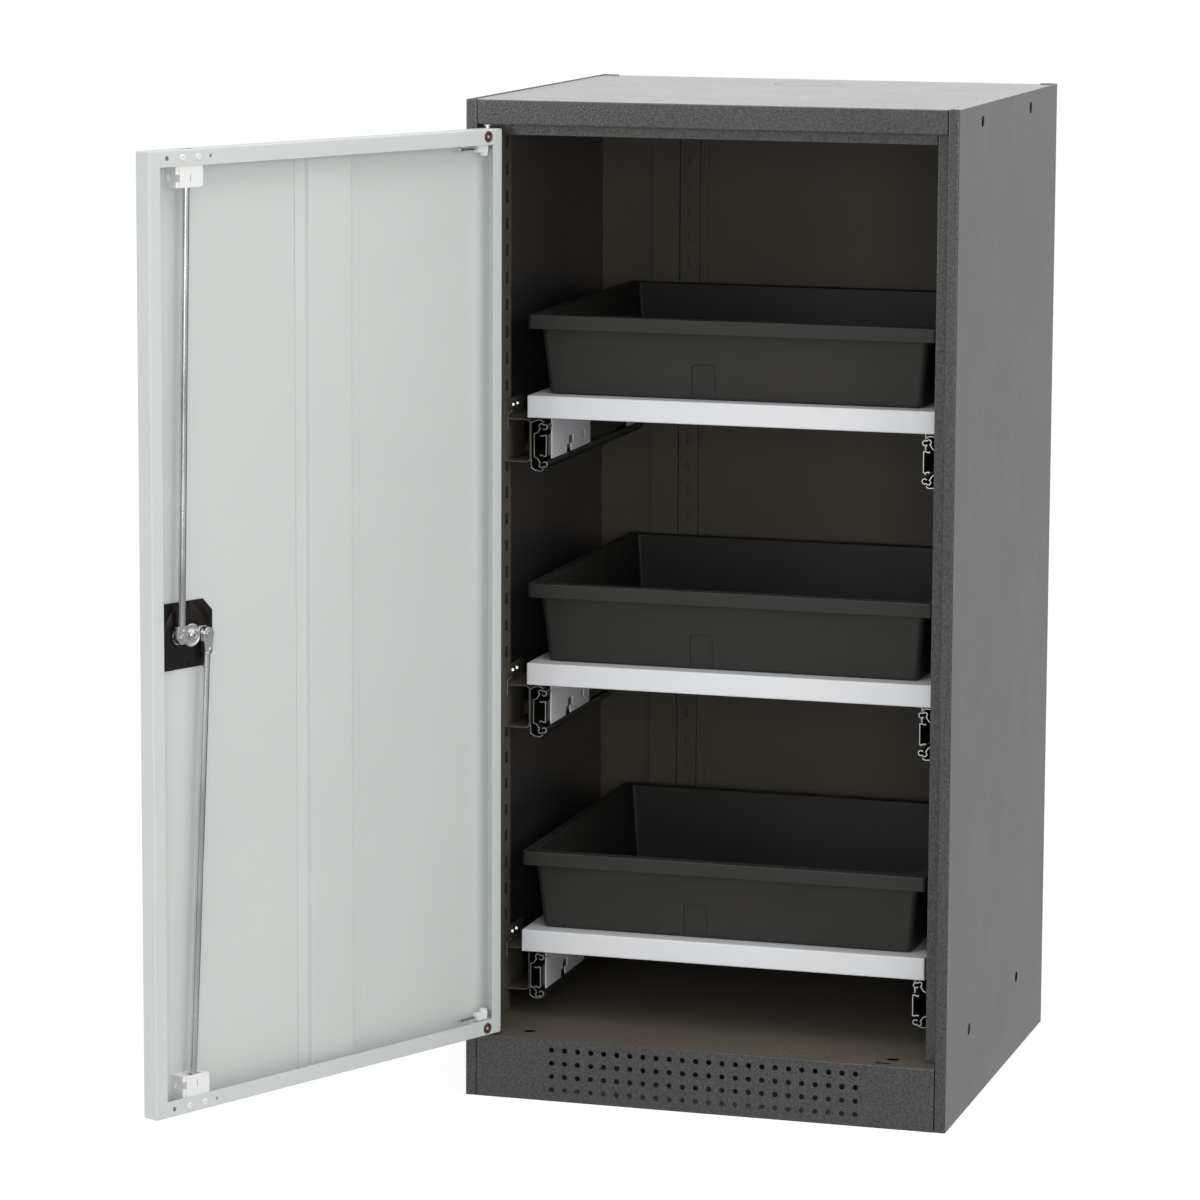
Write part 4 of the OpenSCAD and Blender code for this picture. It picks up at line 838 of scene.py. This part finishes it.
# Half sections of hollow rivets, as (radius, height above the door's lip) in mm
HOLLOW_RIVET = [(1.0, -3), (2.0, -3), (2.0, 0), (3.4, 0), (3.2, 0.8), (2.2, 1.3), (1.3, 1.1),
                (1.0, 0.4), (1.0, -3)]
rivets = [turned(HOLLOW_RIVET, guide_x + dx, door_high.y, z, sides=24)
          for dx in (-RIVET_OFF, RIVET_OFF) for z in rivet_rows]
piece(gather(*rivets), "guide_rivets_turned", "door", white_plastic, ["guide_rivets"],
      turn=swing, bevel=0)

# %% [markdown]
# ## Hinge corners
# A sprung pin stands in each hinge corner. A thin lever pulls it back, so that the door
# can be lifted out, and a white clip joins lever and pin. A brown ring rivet holds the
# block. The block sits under the lip and is hardly seen, so its CAD form stays.

# %% Hinge corners
crisp("hinge_blocks", white_plastic)
RIVET_X = door_low.x + 22 * MM
RING_RIVET = [(1.5, -6), (2.5, -6), (2.5, 0), (6.0, 0), (5.8, 0.9), (4.6, 1.5), (2.8, 1.2),
              (1.5, 0.2), (1.5, -6)]
rings = [turned(RING_RIVET, RIVET_X, door_high.y, z, sides=32) for z in rivet_rows]
piece(gather(*rings), "hinge_rivets_turned", "door", brown_plastic, ["hinge_rivets"],
      turn=swing, bevel=0)

PIN, PIN_TIP, LEVER, KNOB = 3 * MM, 2.2 * MM, 1.5 * MM, 2 * MM      # radii
KNOB_LENGTH, FOOT_LENGTH, TONGUE_LENGTH = 5 * MM, 5 * MM, 14 * MM
LOBE_WIDTH, LOBE_DROP = 5 * MM, 4 * MM


def hinge_lever(end):
    """The pin with its lever, and the clip on it, for the upper or the lower end."""
    low, high = closed_box("hinge_pin_upper")
    clip_low, clip_high = closed_box("pull_grip_upper")
    middle = (clip_low + clip_high) / 2
    pin = bar("Z", PIN, (hinge.x, hinge.y, low.z), high.z - low.z - MM)
    tip = bar("Z", PIN, (hinge.x, hinge.y, high.z - MM), MM, end_radius=PIN_TIP)
    arm = bar("X", LEVER, (hinge.x, middle.y, middle.z), high.x - hinge.x - 2 * MM, sides=16)
    knob = bar("X", KNOB, (high.x - KNOB_LENGTH, middle.y, middle.z), KNOB_LENGTH, sides=16)
    foot = block((hinge.x, hinge.y - 2 * MM, middle.z - 1.5 * MM),
                 (hinge.x + FOOT_LENGTH, middle.y, middle.z + 1.5 * MM))
    jaw = block(clip_low, clip_high)
    tongue = block((clip_high.x - MM, middle.y - MM, middle.z - 0.6 * MM),
                   (clip_high.x + TONGUE_LENGTH, middle.y + 0.4 * MM, middle.z + 1.6 * MM))
    lobe = block((clip_low.x, clip_low.y + MM, clip_low.z - LOBE_DROP),
                 (clip_low.x + LOBE_WIDTH, clip_high.y - MM, clip_low.z + MM))
    metal, plastic = gather(pin, tip, arm, knob, foot), gather(jaw, tongue, lobe)
    if end == "lower":
        metal, plastic = reflected_low(metal), reflected_low(plastic)
    piece(metal, f"hinge_pin_{end}_turned", f"{end}_pin", bright_steel, [f"hinge_pin_{end}"],
          turn=swing, bevel=0.3)
    piece(plastic, f"pull_clip_{end}", f"{end}_pin", white_plastic, [f"pull_grip_{end}"],
          turn=swing, bevel=0.5)


hinge_lever("upper")
hinge_lever("lower")

# %% [markdown]
# ## Brackets and slides
# A folded channel bridges the gap from the uprights to each slide. The slide itself is
# three rolled members that nest in each other, with balls between them. Seen from the
# front, their cut ends draw a fine bright figure, so each member is a folded line with
# the real curls rather than a box. That bright figure is a painted highlight: faces that
# look to the front are coloured near white. Every line is drawn for the left and then
# reflected.

# %% Brackets and slides
LEVELS = ("low", "middle", "top")
fixed_low, fixed_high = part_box("slides_fixed")
slide_x = -fixed_low.x
slide_z, rail_top, drawn = {}, {}, {}
for level in LEVELS:
    low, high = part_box(f"slide_inner_{level}")
    slide_z[level] = (low.z + high.z) / 2
    rail_top[level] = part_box(f"shelf_{level}")[1].z
    drawn[level] = fixed_low.y - low.y


def arc(cu, cw, radius, start, end, steps=8):
    """Points of an arc in a slide's section, in mm, from one angle to another."""
    return [(cu + radius * cos(radians(start + (end - start) * k / steps)),
             cw + radius * sin(radians(start + (end - start) * k / steps)))
            for k in range(steps + 1)]


# Upper half of each member's section: (out from the bracket, above the middle) in mm
FIXED_LINE = [(14.6, 25.6), (13.6, 27.2), (11.0, 28.0), (6.0, 27.4), (1.5, 25.0), (1.5, 16)]
MID_LINE = (arc(16.7, 20.9, 2.3, -150, 130) + arc(12.6, 22.0, 2.1, 20, 260)
            + [(8.6, 14.2), (4.8, 12.8)])
INNER_LINE = [(10.9, 10.4), (11.9, 12.3), (13.6, 11.2), (16.0, 12.4), (18.8, 11.8)]
MEMBER_STEEL = 1.1 * MM


def members(half_line, share):
    """A slide member on both sides at every level, drawn out by its share of the travel."""
    line = half_line + [(u, -w) for u, w in reversed(half_line)]
    for level in LEVELS:
        out = share * drawn[level]
        points = [(slide_z[level] + w * MM, -slide_x + u * MM) for u, w in line]
        rail = folded(points, [fixed_low.y - out, fixed_high.y - out], ZX, radius=0,
                      thick=MEMBER_STEEL)
        yield level, both_sides(rail)


piece(gather(*(rails for _, rails in members(FIXED_LINE, 0))), "slides_outer", "carcass",
      slide_steel, ["slides_fixed"], bevel=0.2)
for part, line, share, body in (("mid", MID_LINE, 0.5, "slide_mids"),
                                ("inner", INNER_LINE, 1, "drawer")):
    for level, rails in members(line, share):
        piece(rails, f"slide_{part}_{level}_rolled", f"{body}_{level}", slide_steel,
              [f"slide_{part}_{level}"], bevel=0.15)
for level in LEVELS:
    for part in ("fixed", "inner"):
        crisp(f"cage_{part}_{level}", bright_steel, bevel=0)

SLIDE_THICK, SLIDE_HEIGHT = 19 * MM, 59 * MM
UPRIGHT_X, UPRIGHT_Y = 260 * MM, front + 96 * MM
BRACKET_STEEL, BRACKET_HEIGHT, BRACKET_FOLD = 1.5 * MM, 46 * MM, 4 * MM
REAR_ARM, REAR_WING, LEAD = 40 * MM, 52 * MM, 4 * MM
HOOK_LENGTH, HOOK_DROP, HOOK_WIRE = 73 * MM, 8 * MM, 3 * MM
SCREW, SCREW_TOP, SCREW_HEAD = 4 * MM, 3.2 * MM, 3 * MM
SCREWS_ALONG, SCREWS_DOWN, HOOK_ALONG = (30 * MM, 45 * MM), 8 * MM, 9 * MM
plate_face = -UPRIGHT_X + BRACKET_STEEL
y0, y1 = fixed_low.y - LEAD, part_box("upright_rear_left")[0].y
brackets, screws = [], []
for level in LEVELS:
    high = slide_z[level] + SLIDE_HEIGHT / 2 - MM
    low = high - BRACKET_HEIGHT
    line = [(low, -UPRIGHT_X), (low, -slide_x), (high, -slide_x), (high, -UPRIGHT_X)]
    brackets.append(folded(line, [y0, y1 - 30 * MM], ZX, radius=BRACKET_FOLD,
                           thick=BRACKET_STEEL))
    brackets.append(block((-UPRIGHT_X, UPRIGHT_Y, low),
                          (plate_face, UPRIGHT_Y + HOOK_LENGTH, rail_top[level] - HOOK_DROP)))
    brackets.append(block((-slide_x - BRACKET_STEEL, y1 - REAR_ARM, low), (-slide_x, y1, high)))
    brackets.append(block((-slide_x - BRACKET_STEEL, y1 - BRACKET_STEEL, low),
                          (-slide_x + REAR_WING, y1, high)))
    for along in SCREWS_ALONG:
        place = (plate_face, UPRIGHT_Y + along, rail_top[level] - HOOK_DROP - SCREWS_DOWN)
        screws.append(bar("X", SCREW, place, SCREW_HEAD, sides=16, end_radius=SCREW_TOP))
    hook = [(rail_top[level] - down * MM, -UPRIGHT_X + out * MM)
            for down, out in ((20, 7), (24, 2.6), (41, 2.6))]
    hook_y = UPRIGHT_Y + HOOK_ALONG
    screws.append(folded(hook, [hook_y, hook_y + HOOK_WIRE], ZX, radius=1.5 * MM, thick=MM))
piece(both_sides(gather(*brackets)), "slide_brackets_folded", "carcass", inside_paint_lightened,
      ["slide_brackets"], bevel=0.3)
piece(both_sides(gather(*screws)), "bracket_screws", "carcass", bright_steel, ["bracket_bolts"],
      bevel=0.4)

# %% [markdown]
# ## Shelves
# A shelf is a sheet with all four sides folded down, and hanging plates at its ends that
# drop into the slides. It starts as a cube without its bottom. The front edge gets one
# more fold, back under the rail, which is why the rail looks solid. The plates have a
# stepped notch and a slot, cut with a Boolean.

# %% Shelves
SHELF_SHEET, RETURN = 1.5 * MM, 15 * MM
HANGER, DROP, SETBACK = 147 * MM, 49 * MM, 16 * MM
# Openings in a hanging plate: (middle along it, width, height of its foot, height) in mm
NOTCH, WINDOW, SLOT = (64.7, 18, -1, 10), (72.7, 18, 8, 10), (120.5, 9, 9, 9)
plate_x = slide_x - SLIDE_THICK
for level in LEVELS:
    low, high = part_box(f"shelf_{level}")
    tray = block((low.x, low.y, low.z + DROP), high)
    remove_faces(tray, lambda face: face.normal.z < -0.9)
    lip = [e for e in tray.edges if e.is_boundary
           and all(v.co.y < low.y + MM for v in e.verts)]
    moved = moved_verts(bmesh.ops.extrude_edge_only(tray, edges=lip))
    bmesh.ops.translate(tray, vec=(0, RETURN, 0), verts=moved)
    for vert in moved:
        vert.co.x *= 1 - 2 * SHELF_SHEET / (high.x - low.x)
    rounded(tray, [e for e in tray.edges if not e.is_boundary], FOLD)
    bmesh.ops.recalc_face_normals(tray, faces=tray.faces[:])
    bmesh.ops.solidify(tray, geom=tray.faces[:], thickness=SHELF_SHEET)
    bmesh.ops.recalc_face_normals(tray, faces=tray.faces[:])
    start = low.y + (fixed_low.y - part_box("shelf_top")[0].y) + SETBACK
    spans = ((start, start + HANGER), (high.y - HANGER / 2, high.y - SHELF_SHEET))
    plates = [block((-plate_x, y0, low.z), (-plate_x + SHELF_SHEET, y1, high.z - SHELF_SHEET))
              for y0, y1 in spans]
    holes = []
    for along, width, foot, tall in (NOTCH, WINDOW, SLOT):
        y, reach, z = start + along * MM, width * MM / 2, low.z + foot * MM
        holes.append(block((-plate_x - MM, y - reach, z),
                           (-plate_x + 3 * MM, y + reach, z + tall * MM)))
    hangers = both_sides(gather(cut(plates[0], *holes), plates[1]))
    piece(gather(tray, hangers), f"shelf_{level}_folded", f"drawer_{level}", shelf_paint,
          [f"shelf_{level}"], bevel=0.25)

# %% [markdown]
# ## Tubs
# Each tub is moulded in one piece: a floor, leaning walls, a flat rim and a band folded
# down from it. Its section is written as a list of steps (inset, height, corner radius),
# from the middle of the floor inside, over the rim and back to the middle underneath.
# Every step becomes a rounded rectangle of points, and neighbours are joined by faces.
# Solidify could give the thickness too, but it would leave the rim no thinner than the
# wall, and here both are wanted. A shallow pocket for a card is pressed into the front.

# %% Tubs
# Sizes in mm: a section is easier to read without a unit on every number
TUB_WALL, RIM, BAND, OVERHANG, DRAFT = 3.0, 2.4, 16.0, 10.5, 9.0
POCKET_X, POCKET_W, POCKET_LOW, POCKET_H, POCKET_DEEP = -34, 27, 3.5, 36, 2.2
POCKET_CORNER = 5


def ring(bm, half_x, half_y, inset, z, radius, steps=5):
    """The points of a rounded rectangle. inset, z and radius are in mm."""
    x, y, radius = half_x - inset * MM, half_y - inset * MM, radius * MM
    points = []
    for quarter, (sx, sy) in enumerate(((1, 1), (-1, 1), (-1, -1), (1, -1))):
        for k in range(steps + 1):
            angle = radians(90 * (quarter + k / steps))
            points.append(bm.verts.new((sx * (x - radius) + radius * cos(angle),
                                        sy * (y - radius) + radius * sin(angle), z * MM)))
    return points


for level in LEVELS:
    low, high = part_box(f"tub_{level}")
    middle = (low + high) / 2
    half_x, half_y = (high.x - low.x) / 2, (high.y - low.y) / 2
    top = (high.z - low.z) / MM
    neck, foot = OVERHANG, OVERHANG + DRAFT
    section = [(foot + TUB_WALL + 4, TUB_WALL, 8), (foot + TUB_WALL + 1, TUB_WALL + 1, 6),
               (foot + TUB_WALL - 0.4, TUB_WALL + 4, 4), (neck + TUB_WALL + 0.1, top - 1.4, 4),
               (neck + TUB_WALL - 0.7, top - 0.4, 4.6), (neck + TUB_WALL - 1.8, top, 5),
               (2.0, top, 4), (0.6, top - 0.6, 4.8), (0, top - 2.0, 5), (0, top - BAND, 5),
               (RIM, top - BAND, 2.6), (RIM, top - RIM, 2.6), (neck + 0.3, top - RIM, 7),
               (foot - 0.4, 4, 7), (foot + 1, 1, 7), (foot + 4, 0, 8)]
    tub = bmesh.new()
    rings = [ring(tub, half_x, half_y, *step) for step in section]
    for inner, outer in zip(rings, rings[1:]):
        for k in range(len(inner)):
            tub.faces.new((inner[k], inner[k - 1], outer[k - 1], outer[k]))
    tub.faces.new(rings[0])
    tub.faces.new(reversed(rings[-1]))
    bmesh.ops.recalc_face_normals(tub, faces=tub.faces[:])
    pocket = block((POCKET_X * MM - POCKET_W * MM / 2, -10 * MM, POCKET_LOW * MM),
                   (POCKET_X * MM + POCKET_W * MM / 2, POCKET_DEEP * MM,
                    (POCKET_LOW + POCKET_H) * MM))
    corners = [e for e in pocket.edges if all(v.co.z > POCKET_H * MM for v in e.verts)
               and abs(e.verts[0].co.y - e.verts[1].co.y) > MM]
    rounded(pocket, corners, POCKET_CORNER * MM)
    for vert in pocket.verts:
        vert.co.y += foot * MM - half_y - vert.co.z * DRAFT / top
    tub = cut(tub, pocket)
    bmesh.ops.translate(tub, vec=(middle.x, middle.y, low.z), verts=tub.verts[:])
    piece(tub, f"tub_{level}_moulded", f"drawer_{level}", tub_plastic, [f"tub_{level}"],
          bevel=0.4)
print("tub", [round(v / MM, 1) for v in high - low], "mm")

# %% [markdown]
# ## The floor of the studio
# The cabinet stands on a pale floor. To the camera the floor is almost white by its own
# colour, and it still keeps the soft shadow that shows where the cabinet stands. To mirror
# rays it is a dim grey, which gives the glossy side of the cabinet its middle tone. Under
# the cabinet it doesn't glow, so the gap below the plinth stays dark.

# %% The floor of the studio
FLOOR_HALF = 150                # metres
GLOW_SEEN, GLOW_MIRRORED, GLOW_SHARE = 1.3, 0.40, 0.62
floor_mesh = bpy.data.meshes.new("studio floor")
bm = bmesh.new()
bmesh.ops.create_grid(bm, x_segments=1, y_segments=1, size=FLOOR_HALF)
bm.to_mesh(floor_mesh)
bm.free()
studio_floor = bpy.data.objects.new("studio floor", floor_mesh)
scene.collection.objects.link(studio_floor)
pale = bpy.data.materials.new("pale floor")
pale.use_nodes = True
tree = pale.node_tree
shader = tree.nodes["Principled BSDF"]
shader.inputs["Base Color"].default_value = (0.9, 0.9, 0.9, 1)
shader.inputs["Roughness"].default_value = 0.9
shader.inputs["Specular IOR Level"].default_value = 0.0
glow = tree.nodes.new("ShaderNodeEmission")
glow.inputs["Color"].default_value = (1, 1, 1, 1)
rays = tree.nodes.new("ShaderNodeLightPath").outputs
strength = between(tree, GLOW_MIRRORED, GLOW_SEEN, rays["Is Camera Ray"])
tree.links.new(strength, glow.inputs["Strength"])
share = math_node(tree, "MULTIPLY", rays["Is Camera Ray"], GLOW_SHARE)
seen = math_node(tree, "MAXIMUM", share, rays["Is Glossy Ray"])
where = tree.nodes.new("ShaderNodeSeparateXYZ")
tree.links.new(tree.nodes.new("ShaderNodeTexCoord").outputs["Object"], where.inputs[0])
past = [math_node(tree, "GREATER_THAN", math_node(tree, "ABSOLUTE", where.outputs[axis]), reach)
        for axis, reach in (("X", half_w), ("Y", rear))]
beside = math_node(tree, "MAXIMUM", *past)
blend = tree.nodes.new("ShaderNodeMixShader")
tree.links.new(math_node(tree, "MULTIPLY", seen, beside), blend.inputs[0])
tree.links.new(shader.outputs[0], blend.inputs[1])
tree.links.new(glow.outputs[0], blend.inputs[2])
tree.links.new(blend.outputs[0], tree.nodes["Material Output"].inputs["Surface"])
floor_mesh.materials.append(pale)
